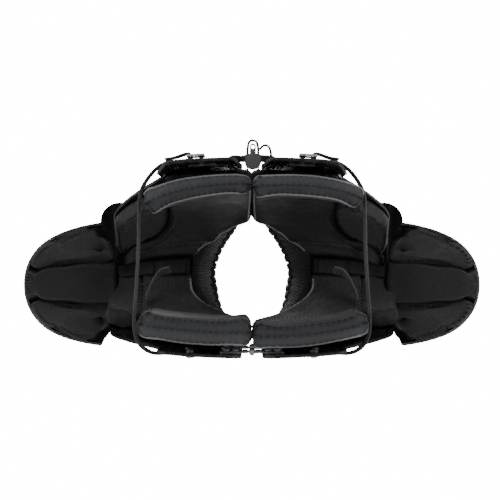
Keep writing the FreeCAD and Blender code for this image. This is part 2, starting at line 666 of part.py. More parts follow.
def lace_eyelets():
    """Metal rings in the lace holes."""
    rings = []
    for z in LACE_LEVELS:
        normal = arch_normal(LACE_HOLE_X, z / PLATE_TOP_Z)
        face = arch_face(LACE_HOLE_X, z / PLATE_TOP_Z)
        ring = rod(LACE_HOLE_R + 1.8, face + normal * 0.12, face + normal * 0.9)
        rings.append(ring.cut(rod(LACE_HOLE_R - 0.4, face - normal * 9, face + normal * 9)))
    return Part.makeCompound(rings)


def lock_frame(x, y, z=0.0):
    """Point in the cord lock's frame: x from its middle plane, z from its level."""
    return Vector(LOCK_X + x, y, LOCK_Z + z)


def lock_body():
    """Pear-shaped body, hollow along its length for the plunger, its spring and two cord strands."""
    thick = 2 * LOCK_HALF_THICKNESS
    centre_y = LOCK_REAR_Y - LOCK_RADIUS
    wide = Part.makeCylinder(LOCK_RADIUS, thick, lock_frame(0, centre_y, -LOCK_HALF_THICKNESS))
    throat_low = lock_frame(-8.7, LOCK_THROAT_Y, -LOCK_HALF_THICKNESS)
    throat_high = lock_frame(8.7, centre_y, LOCK_HALF_THICKNESS)
    body = wide.fuse(rounded_box(throat_low, throat_high, 2.5, UP)).removeSplitter()
    rims = [e for e in body.Edges if e.BoundBox.ZLength < 0.01]
    body = body.makeFillet(1.4, rims)
    pocket = box(lock_frame(-PLUNGER_HALF_WIDTH - 0.1, LOCK_THROAT_Y - 1, -2.6),
                 lock_frame(PLUNGER_HALF_WIDTH + 0.1, LOCK_REAR_Y - 4.5, 2.6))
    tunnels = [rod(LACE_R + 0.25, lock_frame(x, LOCK_THROAT_Y - 1), lock_frame(x, LOCK_REAR_Y + 1))
               for x in (-CORD_OFFSET, CORD_OFFSET)]
    return body.cut([pocket] + tunnels)


def lock_plunger():
    """Push button with a finger hole through its tip."""
    rear = LOCK_REAR_Y - 4.5 - PLUNGER_TRAVEL - 4.5
    centre_y = LOCK_TIP_Y + PLUNGER_HALF_WIDTH
    stem = box(lock_frame(-PLUNGER_HALF_WIDTH, centre_y, -2.5), lock_frame(PLUNGER_HALF_WIDTH, rear, 2.5))
    tip = Part.makeCylinder(PLUNGER_HALF_WIDTH, 5, lock_frame(0, centre_y, -2.5))
    hole = Part.makeCylinder(2.0, 9, lock_frame(0, centre_y + 0.4, -4.5))
    return stem.fuse(tip).removeSplitter().cut(hole)


def lock_spring():
    """Coil spring between the plunger and the floor of its pocket."""
    wire_r, coil_r, turns = 0.35, 1.7, 5
    length = PLUNGER_TRAVEL + 4.5 - 2 * wire_r - 0.2
    helix = Part.makeHelix(length / turns, length, coil_r)
    ring = Part.Wire([Part.makeCircle(wire_r, Vector(coil_r, 0, 0), Vector(0, 1, 0))])
    coil = Part.Wire(helix.Edges).makePipeShell([ring], True, True)
    coil.rotate(Vector(0, 0, 0), Vector(1, 0, 0), 90)
    coil.translate(lock_frame(0, LOCK_REAR_Y - 4.5 - wire_r - 0.1))
    return coil


def lock_loops():
    """Cord through both tunnels, closed in front of the plunger's tip, and the strand towards the left."""
    half = CORD_OFFSET
    front = LOCK_TIP_Y - LACE_R - 2.0
    rear = LOCK_REAR_Y - 1.5
    strands = [rod(LACE_R, lock_frame(x, rear), lock_frame(x, LOCK_THROAT_Y - 2)) for x in (-half, half)]
    bend = Part.BSplineCurve()
    bend.interpolate([lock_frame(-half, LOCK_THROAT_Y - 2), lock_frame(-half * 0.97, LOCK_TIP_Y + 6),
                      lock_frame(-half * 0.7, front + 2.2), lock_frame(0, front),
                      lock_frame(half * 0.7, front + 2.2), lock_frame(half * 0.97, LOCK_TIP_Y + 6),
                      lock_frame(half, LOCK_THROAT_Y - 2)],
                     InitialTangent=FORWARD, FinalTangent=FORWARD * -1)
    loop = pipe(bend, LACE_R).fuse(strands).removeSplitter()
    left_strand = cord([lock_frame(9.2, -118.0), lock_frame(12.0, -121.5), lock_frame(16.0, -121.8),
                        lock_frame(19.4, -117.5), lock_frame(20.3, -112.0)], LACE_R)
    return Part.makeCompound([loop, left_strand])


def lace_tails():
    """The lace's two ends between the cord lock and the lowest lace holes."""
    start_y = LOCK_REAR_Y + 0.9
    right = [lock_frame(-CORD_OFFSET - 0.4, start_y), lock_frame(-CORD_OFFSET - 2.2, start_y + 1.2, 0.6),
             Vector(-12.0, start_y + 1.0, LOCK_Z + 4), Vector(-17.0, -95.6, 22.0), Vector(-21.0, -98.5, 28.5)]
    left = [lock_frame(CORD_OFFSET + 0.4, start_y), lock_frame(CORD_OFFSET + 2.0, start_y + 1.2, 1.0),
            lock_frame(CORD_OFFSET + 2.4, start_y + 0.8, 6.0), lock_frame(1.0, start_y, 12.0)]
    return Part.makeCompound([cord(right, LACE_R), cord(left, LACE_R)])


# ---- assembly -----------------------------------------------------------------------------------------
def build():
    half = {
        "arch": arch(),
        "front_pad": front_pad(),
        "back_pad": back_pad(),
        "front_liner": front_liner(),
        "shoulder_liner": shoulder_liner(),
        "back_liner": back_liner(),
        "channel_pad": channel_pad(),
        "deltoid_pad": deltoid_pad(),
        "rear_deltoid_pad": rear_deltoid_pad(),
        "collar": collar(),
        "epaulet": epaulet(),
        "epaulet_bracket": bracket(EPAULET_AXIS_X, EPAULET_AXIS_Z, 80.5, 106, EPAULET_EARS),
        "epaulet_pin": pivot_pin(EPAULET_AXIS_X, EPAULET_AXIS_Z, EPAULET_EARS[0][0], EPAULET_EARS[1][1]),
        "cup_shell": cup_shell(),
        "cup_bracket": bracket(CUP_AXIS_X, CUP_AXIS_Z, 147, 169, CUP_EARS),
        "cup_pin": pivot_pin(CUP_AXIS_X, CUP_AXIS_Z, CUP_EARS[0][0], CUP_EARS[1][1]),
        "cup_front_pad": cup_pad(-CUP_LEAN + 2, -CUP_CREASE - 0.5),
        "cup_centre_pad": cup_pad(-CUP_CREASE + 0.5, CUP_CREASE - 0.5),
        "cup_rear_pad": cup_pad(CUP_CREASE + 0.5, CUP_LEAN - 2),
        "belt": belt(),
        "belt_hook": belt_hook(),
        "channel_strap": channel_strap(),
        "lace_eyelets": lace_eyelets(),
        "rivets": arch_rivets(),
    }
    nodes = {}
    for name, shape in half.items():
        nodes["left_" + name] = shape
        nodes["right_" + name] = mirrored(shape)
    nodes["left_lace"] = lace()
    nodes["right_lace"] = mirrored(lace())
    nodes["lace_tails"] = lace_tails()
    nodes["left_hinge_leaf"] = hinge_leaf(1, ((0.0, 10.0), (24.0, 34.0)))
    nodes["right_hinge_leaf"] = hinge_leaf(-1, ((10.2, 23.8),))
    nodes["hinge_pins"] = hinge_pins()
    nodes["cord_lock_body"] = lock_body()
    nodes["cord_lock_plunger"] = lock_plunger()
    nodes["cord_lock_spring"] = lock_spring()
    nodes["cord_lock_loops"] = lock_loops()
    for shape in nodes.values():
        shape.translate(Vector(0, BALANCE_Y, 0))
    return nodes


os.makedirs("parts", exist_ok=True)
for node, shape in build().items():
    solids = shape.Solids
    bad = [s for s in solids if not s.isValid() or s.Volume <= 0]
    print(node, "solids", len(solids), "bad", len(bad), "volume", round(sum(s.Volume for s in solids)))
    result = solids[0] if len(solids) == 1 else Part.makeCompound(solids)
    result.exportStep("parts/" + node + ".step")
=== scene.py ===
import json
import math

import bpy
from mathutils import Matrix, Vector, kdtree, noise


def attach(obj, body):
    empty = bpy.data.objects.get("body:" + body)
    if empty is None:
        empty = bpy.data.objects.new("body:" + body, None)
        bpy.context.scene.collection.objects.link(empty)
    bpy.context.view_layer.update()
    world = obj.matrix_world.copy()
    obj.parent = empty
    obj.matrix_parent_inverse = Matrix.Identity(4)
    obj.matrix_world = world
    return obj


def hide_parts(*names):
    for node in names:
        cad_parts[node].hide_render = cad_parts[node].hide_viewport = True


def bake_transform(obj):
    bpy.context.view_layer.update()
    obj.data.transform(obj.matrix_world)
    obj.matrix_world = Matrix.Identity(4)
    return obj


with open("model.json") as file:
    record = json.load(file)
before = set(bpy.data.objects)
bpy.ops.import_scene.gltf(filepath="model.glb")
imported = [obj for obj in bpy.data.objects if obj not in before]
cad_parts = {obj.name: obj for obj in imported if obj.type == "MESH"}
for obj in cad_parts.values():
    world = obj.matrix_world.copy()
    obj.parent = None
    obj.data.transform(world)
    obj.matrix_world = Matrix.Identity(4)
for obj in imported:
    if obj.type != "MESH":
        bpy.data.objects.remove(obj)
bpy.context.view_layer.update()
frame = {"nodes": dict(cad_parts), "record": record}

# Lengths in this script are millimetres laid out as in the CAD source; placed() turns them into the
# row frame in metres.
BALANCE_Y = 7.54
CHEST_FACE_Y, BACK_FACE_Y = -108.0, 114.5
CHEST_WRAP, BACK_WRAP = 6.6e-6, 0.0005
PLATE_TOP_Z, CROWN_Z, CROWN_SLOPE = 135.0, 268.0, 0.0008
NECK_Y, NECK_HALF_WIDTH, NECK_FRONT_REACH, NECK_BACK_REACH = 22.0, 77.0, 90.0, 75.0
CUP_ORIGIN = Vector((130, 36, 170))
CUP_DROOP = math.radians(28)
CUP_LENGTH, CUP_HALF_WIDTH, CUP_HEIGHT, CUP_FULLNESS = 152.0, 80.0, 87.0, 0.72
PLATE_OUTER_X, BRIDGE_OUTER_X = 106.0, 174.0
FRONT_FLARE, BACK_FLARE = (155.0, 225.0), (45.0, 175.0)
CHEST_PAD_Z = (4.0, 118.0)   # the chest and back cushions' lower and upper edges
PAD_STEP = 3.4               # spacing of a cushion's mesh before its one subdivision
PARAM_NAMES = ("pad_u", "pad_v", "pad_w")


def placed(point):
    return Vector((point[0], point[1] + BALANCE_Y, point[2])) * 0.001


def spread(low, high, count):
    return [low + (high - low) * i / (count - 1) for i in range(count)]


def smooth(value, low, high):
    share = min(1.0, max(0.0, (value - low) / (high - low)))
    return share * share * (3 - 2 * share)


def bump(value, centre, width):
    return math.exp(-((value - centre) / width) ** 2)


# ---- the arch and cup surfaces, as in the CAD ----------------------------------------------------------
def chest_y(x):
    return CHEST_FACE_Y + CHEST_WRAP * abs(x) ** 3


def back_y(x):
    return BACK_FACE_Y - BACK_WRAP * x * x


def arch_face(x, along):
    if along <= 1:
        return Vector((x, chest_y(x), PLATE_TOP_Z * along))
    if along >= 2:
        return Vector((x, back_y(x), PLATE_TOP_Z * (3 - along)))
    turn = math.pi * (along - 1)
    middle = (chest_y(x) + back_y(x)) / 2
    half_depth = (back_y(x) - chest_y(x)) / 2
    rise = CROWN_Z - CROWN_SLOPE * x * x - PLATE_TOP_Z
    return Vector((x, middle - half_depth * math.cos(turn), PLATE_TOP_Z + rise * math.sin(turn)))


def arch_normal(x, along):
    step = 0.01
    across = arch_face(x + step, along) - arch_face(x - step, along)
    over = arch_face(x, along + step) - arch_face(x, along - step)
    return across.cross(over).normalized()


def arch_point(x, along, depth=0.0):
    return arch_face(x, along) - arch_normal(x, along) * depth


def arch_outer_x(along):
    flare = smooth(arch_face(100, along).z, *(FRONT_FLARE if along < 1.5 else BACK_FLARE))
    return PLATE_OUTER_X + (BRIDGE_OUTER_X - PLATE_OUTER_X) * flare


def along_of(y):
    x = 120.0
    middle = (chest_y(x) + back_y(x)) / 2
    half_depth = (back_y(x) - chest_y(x)) / 2
    return 1 + math.acos((middle - y) / half_depth) / math.pi


def cup_point(tilt, lean, depth=0.0):
    tilt, lean = math.radians(tilt), math.radians(lean)
    length, width, height = CUP_LENGTH - depth, CUP_HALF_WIDTH - depth, CUP_HEIGHT - depth
    out = Vector((math.cos(CUP_DROOP), 0, -math.sin(CUP_DROOP)))
    top = Vector((math.sin(CUP_DROOP), 0, math.cos(CUP_DROOP)))
    taper = max(0.0, math.cos(tilt)) ** CUP_FULLNESS
    local = out * (length * math.sin(tilt)) + top * (height * taper * math.cos(lean))
    return CUP_ORIGIN + local + Vector((0, width * taper * math.sin(lean), 0))


def neck_edge(turn, inset=0.0):
    power = 4 / 3 if turn < 90 else 1.0
    reach = NECK_FRONT_REACH if turn < 90 else NECK_BACK_REACH
    turn = math.radians(turn)
    share = abs(math.cos(turn)) ** power
    y = NECK_Y - math.copysign((reach - inset) * share, math.cos(turn))
    return (NECK_HALF_WIDTH - inset) * abs(math.sin(turn)) ** power, y


def bridge_height(x, y):
    middle = (chest_y(x) + back_y(x)) / 2
    half_depth = (back_y(x) - chest_y(x)) / 2
    return arch_face(x, 1 + math.acos((middle - y) / half_depth) / math.pi).z


# ---- mesh building -------------------------------------------------------------------------------------
def new_object(name, points, faces, uvs=None, side=1):
    """Mesh object from millimetre points; side -1 mirrors it to the wearer's right."""
    mesh = bpy.data.meshes.new(name)
    verts = [placed((p[0] * side, p[1], p[2])) for p in points]
    if side < 0:
        faces = [tuple(reversed(f)) for f in faces]
    mesh.from_pydata(verts, [], faces)
    if uvs:
        layer = mesh.uv_layers.new(name="UVMap")
        for loop in mesh.loops:
            layer.data[loop.index].uv = uvs[loop.vertex_index]
    mesh.polygons.foreach_set("use_smooth", [True] * len(mesh.polygons))
    mesh.update()
    obj = bpy.data.objects.new(name, mesh)
    bpy.context.scene.collection.objects.link(obj)
    return obj


def dress(obj, body, slot, look, *nodes):
    """Gives a finished piece its body and material, and hides the CAD nodes it replaces; slot is not used."""
    obj.data.materials.clear()
    obj.data.materials.append(look)
    if body:
        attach(obj, body)
    if nodes:
        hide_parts(*nodes)
    return obj


def frames_along(points, closed=False):
    """Points with a normal and binormal carried along the path without twisting."""
    count = len(points)
    tangents = []
    for i in range(count):
        ahead = points[(i + 1) % count] if closed else points[min(i + 1, count - 1)]
        behind = points[i - 1] if closed or i else points[0]
        tangents.append((ahead - behind).normalized())
    side = tangents[0].orthogonal().normalized()
    result = []
    for point, tangent in zip(points, tangents):
        side = (side - tangent * side.dot(tangent)).normalized()
        result.append((point, side, tangent.cross(side)))
    return result


def smooth_path(points, step=1.5, closed=False):
    """Catmull-Rom curve through the points, sampled about every step millimetres."""
    points = [Vector(p) for p in points]
    count = len(points)
    result = []
    for i in range(count if closed else count - 1):
        p1, p2 = points[i], points[(i + 1) % count]
        p0 = points[i - 1] if closed or i else p1 * 2 - p2
        p3 = points[(i + 2) % count] if closed or i + 2 < count else p2 * 2 - p1
        pieces = max(2, round((p2 - p1).length / step))
        for j in range(pieces):
            t = j / pieces
            result.append(0.5 * ((2 * p1) + (p2 - p0) * t + (2 * p0 - 5 * p1 + 4 * p2 - p3) * t * t
                                 + (3 * p1 - 3 * p2 + p3 - p0) * t ** 3))
    if not closed:
        result.append(points[-1])
    return result


def tube_data(points, radius, closed=False, sides=10, braid=0.0):
    verts, uvs, faces = [], [], []
    length = 0.0
    ring_frames = frames_along(points, closed)
    for i, (point, side, up) in enumerate(ring_frames):
        if i:
            length += (point - ring_frames[i - 1][0]).length
        for j in range(sides):
            turn = 2 * math.pi * j / sides
            swell = radius * (1 + braid * math.sin(length * 2.2 + 2 * turn) * math.sin(length * 2.2 - 2 * turn))
            verts.append(point + (side * math.cos(turn) + up * math.sin(turn)) * swell)
            uvs.append((radius * turn, length))
    rings = len(ring_frames)
    for i in range(rings if closed else rings - 1):
        for j in range(sides):
            a, b = i * sides + j, i * sides + (j + 1) % sides
            c, d = ((i + 1) % rings) * sides + (j + 1) % sides, ((i + 1) % rings) * sides + j
            faces.append((a, b, c, d))
    if not closed:
        faces.append(tuple(reversed(range(sides))))
        faces.append(tuple((rings - 1) * sides + j for j in range(sides)))
    return verts, faces, uvs


def tube(name, points, radius, side=1, closed=False, braid=0.0):
    verts, faces, uvs = tube_data(points, radius, closed, braid=braid)
    return new_object(name, verts, faces, uvs, side)


def ribbon(name, path, up, width, thickness, side=1):
    """Webbing: a flat strap with rounded edges along a path, standing along the up direction."""
    outline = []
    for turn in spread(-90, 90, 5):
        turn = math.radians(turn)
        outline.append((width / 2 + thickness / 2 * (math.cos(turn) - 1), thickness / 2 * math.sin(turn)))
    outline += [(-u, w) for u, w in reversed(outline)]
    fill = []
    for (u0, w0), (u1, w1) in zip(outline, outline[1:] + outline[:1]):
        pieces = 10 if abs(u1 - u0) > width / 2 else 1
        fill += [(u0 + (u1 - u0) * k / pieces, w0 + (w1 - w0) * k / pieces) for k in range(pieces)]
    verts, uvs, faces = [], [], []
    length = 0.0
    count = len(path)
    for i, point in enumerate(path):
        if i:
            length += (point - path[i - 1]).length
        tangent = (path[min(i + 1, count - 1)] - path[max(i - 1, 0)]).normalized()
        rise = Vector(up[i] if isinstance(up, list) else up)
        rise = (rise - tangent * rise.dot(tangent)).normalized()
        out = tangent.cross(rise)
        for u, w in fill:
            verts.append(point + rise * u + out * w)
            uvs.append((u, length))
    ring = len(fill)
    for i in range(count - 1):
        for j in range(ring):
            k = (j + 1) % ring
            faces.append((i * ring + j, i * ring + k, (i + 1) * ring + k, (i + 1) * ring + j))
    faces.append(tuple(reversed(range(ring))))
    faces.append(tuple((count - 1) * ring + j for j in range(ring)))
    return new_object(name, verts, faces, uvs, side)


def box_lattice(lengths, step):
    """Quads over the surface of a box: lattice indices, faces and the number of cells each way."""
    cells = [max(4, round(length / step)) for length in lengths]
    index, order, faces = {}, [], []

    def corner(key):
        if key not in index:
            index[key] = len(order)
            order.append(key)
        return index[key]

    for axis in range(3):
        a, b = [(1, 2), (2, 0), (0, 1)][axis]
        for level in (0, cells[axis]):
            for i in range(cells[a]):
                for j in range(cells[b]):
                    keys = []
                    for da, db in ((0, 0), (1, 0), (1, 1), (0, 1)):
                        key = [0, 0, 0]
                        key[axis], key[a], key[b] = level, i + da, j + db
                        keys.append(corner(tuple(key)))
                    faces.append(tuple(keys) if level else tuple(reversed(keys)))
    return cells, order, faces


class Pad:
    """A closed cushion over place(u, v, w): u and v run over its broad faces and w through it, from the
    shell's side to the wearer's, each from 0 to 1.  Sizes are millimetres of cloth."""

    def __init__(self, name, side, body, slot, look, place, lengths, radius, crown, cap, corner, plane):
        self.name, self.side, self.body, self.slot, self.look = name, side, body, slot, look
        self.place, self.lengths, self.radius, self.crown = place, lengths, radius, crown
        self.cap, self.corner, self.plane = cap, corner, plane
        self.obj = self.build()

    def rounded(self, full):
        """Moves a point of the plain box onto the box with rounded edges and corners."""
        core = [min(max(f, self.radius), length - self.radius) for f, length in zip(full, self.lengths)]
        if self.corner:
            a, b = self.plane
            flat = [min(max(full[i], self.corner), self.lengths[i] - self.corner) for i in (a, b)]
            away = Vector((full[a] - flat[0], full[b] - flat[1]))
            if abs(away.x) > 0 and abs(away.y) > 0:
                away *= max(abs(away.x), abs(away.y)) / away.length
                hold = (self.corner - self.radius) / self.corner
                full[a], full[b] = flat[0] + away.x, flat[1] + away.y
                core[a], core[b] = flat[0] + away.x * hold, flat[1] + away.y * hold
        away = Vector([f - c for f, c in zip(full, core)])
        if away.length > 0:
            away = away.normalized() * self.radius
        return [c + a for c, a in zip(core, away)]

    def build(self):
        cells, order, faces = box_lattice(self.lengths, PAD_STEP)
        points, params, uvs = [], [], []
        for key in order:
            full = [k / n * length for k, n, length in zip(key, cells, self.lengths)]
            at = self.rounded(full)
            u, v, w = [a / length for a, length in zip(at, self.lengths)]
            params.append((u, v, w))
            swell = self.crown * (max(0.0, math.sin(math.pi * u)) * max(0.0, math.sin(math.pi * v))) ** 0.5
            w += swell * (2 * w - 1) / self.lengths[2]
            points.append(self.place(u, v, w))
            uvs.append((at[0] + at[2], at[1] + at[2]))
        obj = new_object(self.name, points, faces, uvs, self.side)
        for number, label in enumerate(PARAM_NAMES):
            attribute = obj.data.attributes.new(label, "FLOAT", "POINT")
            attribute.data.foreach_set("value", [p[number] for p in params])
        return obj

    def params(self):
        """Each vertex's place in the unrolled pad, in millimetres."""
        columns = []
        for label, length in zip(PARAM_NAMES, self.lengths):
            values = [0.0] * len(self.obj.data.vertices)
            self.obj.data.attributes[label].data.foreach_get("value", values)
            columns.append([value * length for value in values])
        return list(zip(*columns))

    def carve(self, depth_at):
        """Moves each vertex inwards by depth_at(U, V, W, co) millimetres."""
        mesh = self.obj.data
        normals = [v.normal.copy() for v in mesh.vertices]
        for vertex, normal, (u, v, w) in zip(mesh.vertices, normals, self.params()):
            vertex.co -= normal * (0.001 * depth_at(u, v, w, vertex.co * 1000))
        mesh.update()

    def path(self, spots, lift):
        """Path on the finished surface through places of the unrolled pad, in metres."""
        tree = kdtree.KDTree(len(self.obj.data.vertices))
        for number, spot in enumerate(self.params()):
            tree.insert(spot, number)
        tree.balance()
        result = []
        for spot in spots:
            total, weight_sum = Vector(), 0.0
            for co, number, distance in tree.find_n(spot, 6):
                vertex = self.obj.data.vertices[number]
                weight = 1 / (distance + 0.3)
                total += (vertex.co + vertex.normal * lift * 0.001) * weight
                weight_sum += weight
            result.append(total / weight_sum)
        return result

    def rim(self, w, inset, corner, step=2.0):
        """Places round the pad's outline, inset from it, at depth w."""
        wide, tall = self.lengths[0] - 2 * inset, self.lengths[1] - 2 * inset
        outline = []
        for cx, cy, start in ((wide - corner, corner, -90), (wide - corner, tall - corner, 0),
                              (corner, tall - corner, 90), (corner, corner, 180)):
            for turn in spread(start, start + 90, 7):
                turn = math.radians(turn)
                outline.append((cx + corner * math.cos(turn), cy + corner * math.sin(turn)))
        spots = []
        for (x0, y0), (x1, y1) in zip(outline, outline[1:] + outline[:1]):
            pieces = max(1, round(math.hypot(x1 - x0, y1 - y0) / step))
            for k in range(pieces):
                x, y = x0 + (x1 - x0) * k / pieces, y0 + (y1 - y0) * k / pieces
                spots.append((x + inset, y + inset, w))
        return spots


def relaxed(points, closed, rounds=2):
    """Evens out small jogs in a path."""
    for _ in range(rounds):
        count = len(points)
        softer = []
        for i, point in enumerate(points):
            if closed or 0 < i < count - 1:
                point = (points[i - 1] + 2 * point + points[(i + 1) % count]) / 4
            softer.append(point)
        points = softer
    return points


def sewn_on(name, pad, spots, radius, lift, closed, look):
    """Piping or cord laid on a finished pad."""
    line = [p * 1000 - Vector((0, BALANCE_Y, 0)) for p in pad.path(spots, lift)]
    piece = tube(name, relaxed(line, closed), radius, 1, closed)
    return dress(piece, pad.body, pad.slot, look)


def swell_all(pads, pressure=4.0, frames=20):
    """One cloth simulation that inflates every cushion, then keeps each point within its cap."""
    scene = bpy.context.scene
    for pad in pads:
        cloth = pad.obj.modifiers.new("Cloth", "CLOTH")
        settings = cloth.settings
        settings.quality = 5
        settings.mass = 0.25
        settings.tension_stiffness = 12
        settings.compression_stiffness = 6
        settings.shear_stiffness = 4
        settings.bending_stiffness = 0.15
        settings.use_pressure = True
        settings.uniform_pressure_force = pressure
        settings.effector_weights.gravity = 0
        cloth.collision_settings.use_collision = False
        cloth.point_cache.frame_start = 1
        cloth.point_cache.frame_end = frames
    for number in range(1, frames + 1):
        scene.frame_set(number)
    graph = bpy.context.evaluated_depsgraph_get()
    for pad in pads:
        evaluated = pad.obj.evaluated_get(graph)
        moved = [v.co.copy() for v in evaluated.to_mesh().vertices]
        evaluated.to_mesh_clear()
        for vertex, after in zip(pad.obj.data.vertices, moved):
            shift = after - vertex.co
            limit = pad.cap * 0.001
            if shift.length > limit:
                shift *= limit / shift.length
            vertex.co += shift
    for pad in pads:
        pad.obj.modifiers.clear()
    scene.frame_set(1)


def refine(obj):
    """One subdivision, applied."""
    obj.modifiers.new("Subdivision", "SUBSURF").levels = 1
    graph = bpy.context.evaluated_depsgraph_get()
    mesh = bpy.data.meshes.new_from_object(obj.evaluated_get(graph))
    obj.modifiers.clear()
    obj.data = mesh
    mesh.polygons.foreach_set("use_smooth", [True] * len(mesh.polygons))


# ---- materials -----------------------------------------------------------------------------------------
class Graph:
    """Small helper for building a node material."""

    def __init__(self, name):
        self.material = bpy.data.materials.new(name)
        self.material.use_nodes = True
        self.tree = self.material.node_tree
        self.shader = self.tree.nodes["Principled BSDF"]

    def link(self, value, socket):
        if isinstance(value, bpy.types.NodeSocket):
            self.tree.links.new(value, socket)
        else:
            socket.default_value = value

    def math(self, operation, a, b=0.0, c=0.0):
        node = self.tree.nodes.new("ShaderNodeMath")
        node.operation = operation
        for socket, value in zip(node.inputs, (a, b, c)):
            self.link(value, socket)
        return node.outputs[0]

    def coords(self, kind):
        return self.tree.nodes.new("ShaderNodeTexCoord").outputs[kind]

    def split(self, vector):
        node = self.tree.nodes.new("ShaderNodeSeparateXYZ")
        self.link(vector, node.inputs[0])
        return node.outputs

    def noise(self, scale, detail=3.0, vector=None, roughness=0.5):
        node = self.tree.nodes.new("ShaderNodeTexNoise")
        node.inputs["Scale"].default_value = scale
        node.inputs["Detail"].default_value = detail
        node.inputs["Roughness"].default_value = roughness
        self.link(vector or self.coords("Object"), node.inputs["Vector"])
        return node.outputs["Fac"]

    def stretch(self, vector, factors):
        node = self.tree.nodes.new("ShaderNodeMapping")
        self.link(vector, node.inputs["Vector"])
        node.inputs["Scale"].default_value = factors
        return node.outputs[0]

    def ramp(self, value, low, high, to_low=0.0, to_high=1.0):
        node = self.tree.nodes.new("ShaderNodeMapRange")
        for socket, number in zip(node.inputs, (value, low, high, to_low, to_high)):
            self.link(number, socket)
        return node.outputs[0]

    def mix(self, share, a, b):
        node = self.tree.nodes.new("ShaderNodeMix")
        node.data_type = "RGBA"
        self.link(share, node.inputs[0])
        for socket, value in ((node.inputs[6], a), (node.inputs[7], b)):
            self.link(value if isinstance(value, bpy.types.NodeSocket) else (*value, 1), socket)
        return node.outputs[2]

    def bump(self, height, distance, strength=1.0, under=None):
        node = self.tree.nodes.new("ShaderNodeBump")
        node.inputs["Distance"].default_value = distance
        node.inputs["Strength"].default_value = strength
        self.link(height, node.inputs["Height"])
        if under:
            self.link(under, node.inputs["Normal"])
        return node.outputs[0]

    def facing(self):
        """0 where a surface faces the viewer, rising to 1 at its outline."""
        node = self.tree.nodes.new("ShaderNodeLayerWeight")
        node.inputs["Blend"].default_value = 0.35
        return self.math("POWER", node.outputs["Facing"], 1.6)

    def attribute(self, name):
        node = self.tree.nodes.new("ShaderNodeAttribute")
        node.attribute_name = name
        return node.outputs["Fac"]

    def pointiness(self):
        return self.tree.nodes.new("ShaderNodeNewGeometry").outputs["Pointiness"]

    def finish(self, colour, roughness, normal, **more):
        self.link(colour if isinstance(colour, bpy.types.NodeSocket) else (*colour, 1),
                  self.shader.inputs["Base Color"])
        self.link(roughness, self.shader.inputs["Roughness"])
        self.link(normal, self.shader.inputs["Normal"])
        for name, value in more.items():
            self.link(value, self.shader.inputs[name.replace("_", " ")])
        return self.material


def wave_of(graph, value, period):
    """0 to 1 wave with the given period in millimetres of cloth."""
    turned = graph.math("MULTIPLY", value, 2 * math.pi / period)
    return graph.math("MULTIPLY_ADD", graph.math("SINE", turned), 0.5, 0.5)


CLOTH_GLOSS = 0.30


def cloth_look(name, colour, pattern, period, depth, roughness=0.8, lift=1.7, sheen=0.25, panel=0.0):
    """Woven or knitted cloth.  pattern is mesh, rib, twill or webbing; period is in millimetres.
    With panel, the cloth on the shell's side of a pad's middle seam is that much lighter."""
    g = Graph(name)
    u, v, _ = g.split(g.coords("UV"))
    if pattern == "mesh":
        height = g.math("MULTIPLY", wave_of(g, g.math("ADD", u, v), period),
                        wave_of(g, g.math("SUBTRACT", u, v), period))
    elif pattern == "rib":
        fine = wave_of(g, v, period * 0.5)
        height = g.math("MULTIPLY_ADD", fine, 0.25, wave_of(g, u, period))
    elif pattern == "twill":
        height = g.math("ADD", wave_of(g, g.math("MULTIPLY_ADD", v, 2.0, u), period),
                        g.math("MULTIPLY", wave_of(g, u, period * 0.5), 0.5))
    else:
        rows = wave_of(g, v, period)
        height = g.math("MULTIPLY_ADD", wave_of(g, u, period * 2.2), 0.6, rows)
    blotch = g.noise(14, 4)
    fuzz = g.noise(420, 2)
    worn = g.math("MULTIPLY", g.ramp(g.pointiness(), 0.5, 0.62), g.ramp(blotch, 0.35, 0.7))
    bright = tuple(c * lift for c in colour)
    dark = tuple(c * 0.7 for c in colour)
    shade = g.mix(g.ramp(height, 0.0, 0.9), dark, bright)
    shade = g.mix(g.math("MULTIPLY", g.ramp(blotch, 0.3, 0.8), 0.3), shade, tuple(c * 1.8 for c in colour))
    shade = g.mix(g.math("MULTIPLY", worn, 0.35), shade, tuple(c * 2.6 + 0.004 for c in colour))
    # Painted sheen: the cloth is painted lighter towards its outline, where grazing light would catch it.
    shade = g.mix(g.math("MULTIPLY", g.facing(), 0.5), shade, tuple(c * 3.2 for c in colour))
    # Painted shade: concave creases and the marked seams and dimples are painted darker, and their gloss and
    # sheen are turned down with them.
    crease = g.ramp(g.pointiness(), 0.44, 0.495, 0.75, 0.0)
    hollow = g.math("MAXIMUM", crease, g.math("MULTIPLY", g.attribute("pad_seam"), 0.92))
    shade = g.mix(hollow, shade, tuple(c * 0.12 for c in colour))
    if panel:
        shell_side = g.ramp(g.attribute("pad_w"), 0.44, 0.48, 1.0, 0.0)
        shade = g.mix(g.math("MULTIPLY", shell_side, 0.5), shade, tuple(c * (1 + 2 * panel) for c in colour))
    rough = g.ramp(g.noise(60, 3), 0.2, 0.8, roughness - 0.12, min(1.0, roughness + 0.1))
    soft = g.bump(blotch, 0.0012, 0.5)
    weave = g.bump(height, depth, 0.9, soft)
    normal = g.bump(fuzz, 0.00012, 0.5, weave)
    return g.finish(shade, rough, normal, Sheen_Roughness=0.45,
                    Sheen_Weight=g.math("MULTIPLY_ADD", hollow, -sheen, sheen),
                    Specular_IOR_Level=g.math("MULTIPLY_ADD", hollow, -CLOTH_GLOSS, CLOTH_GLOSS))


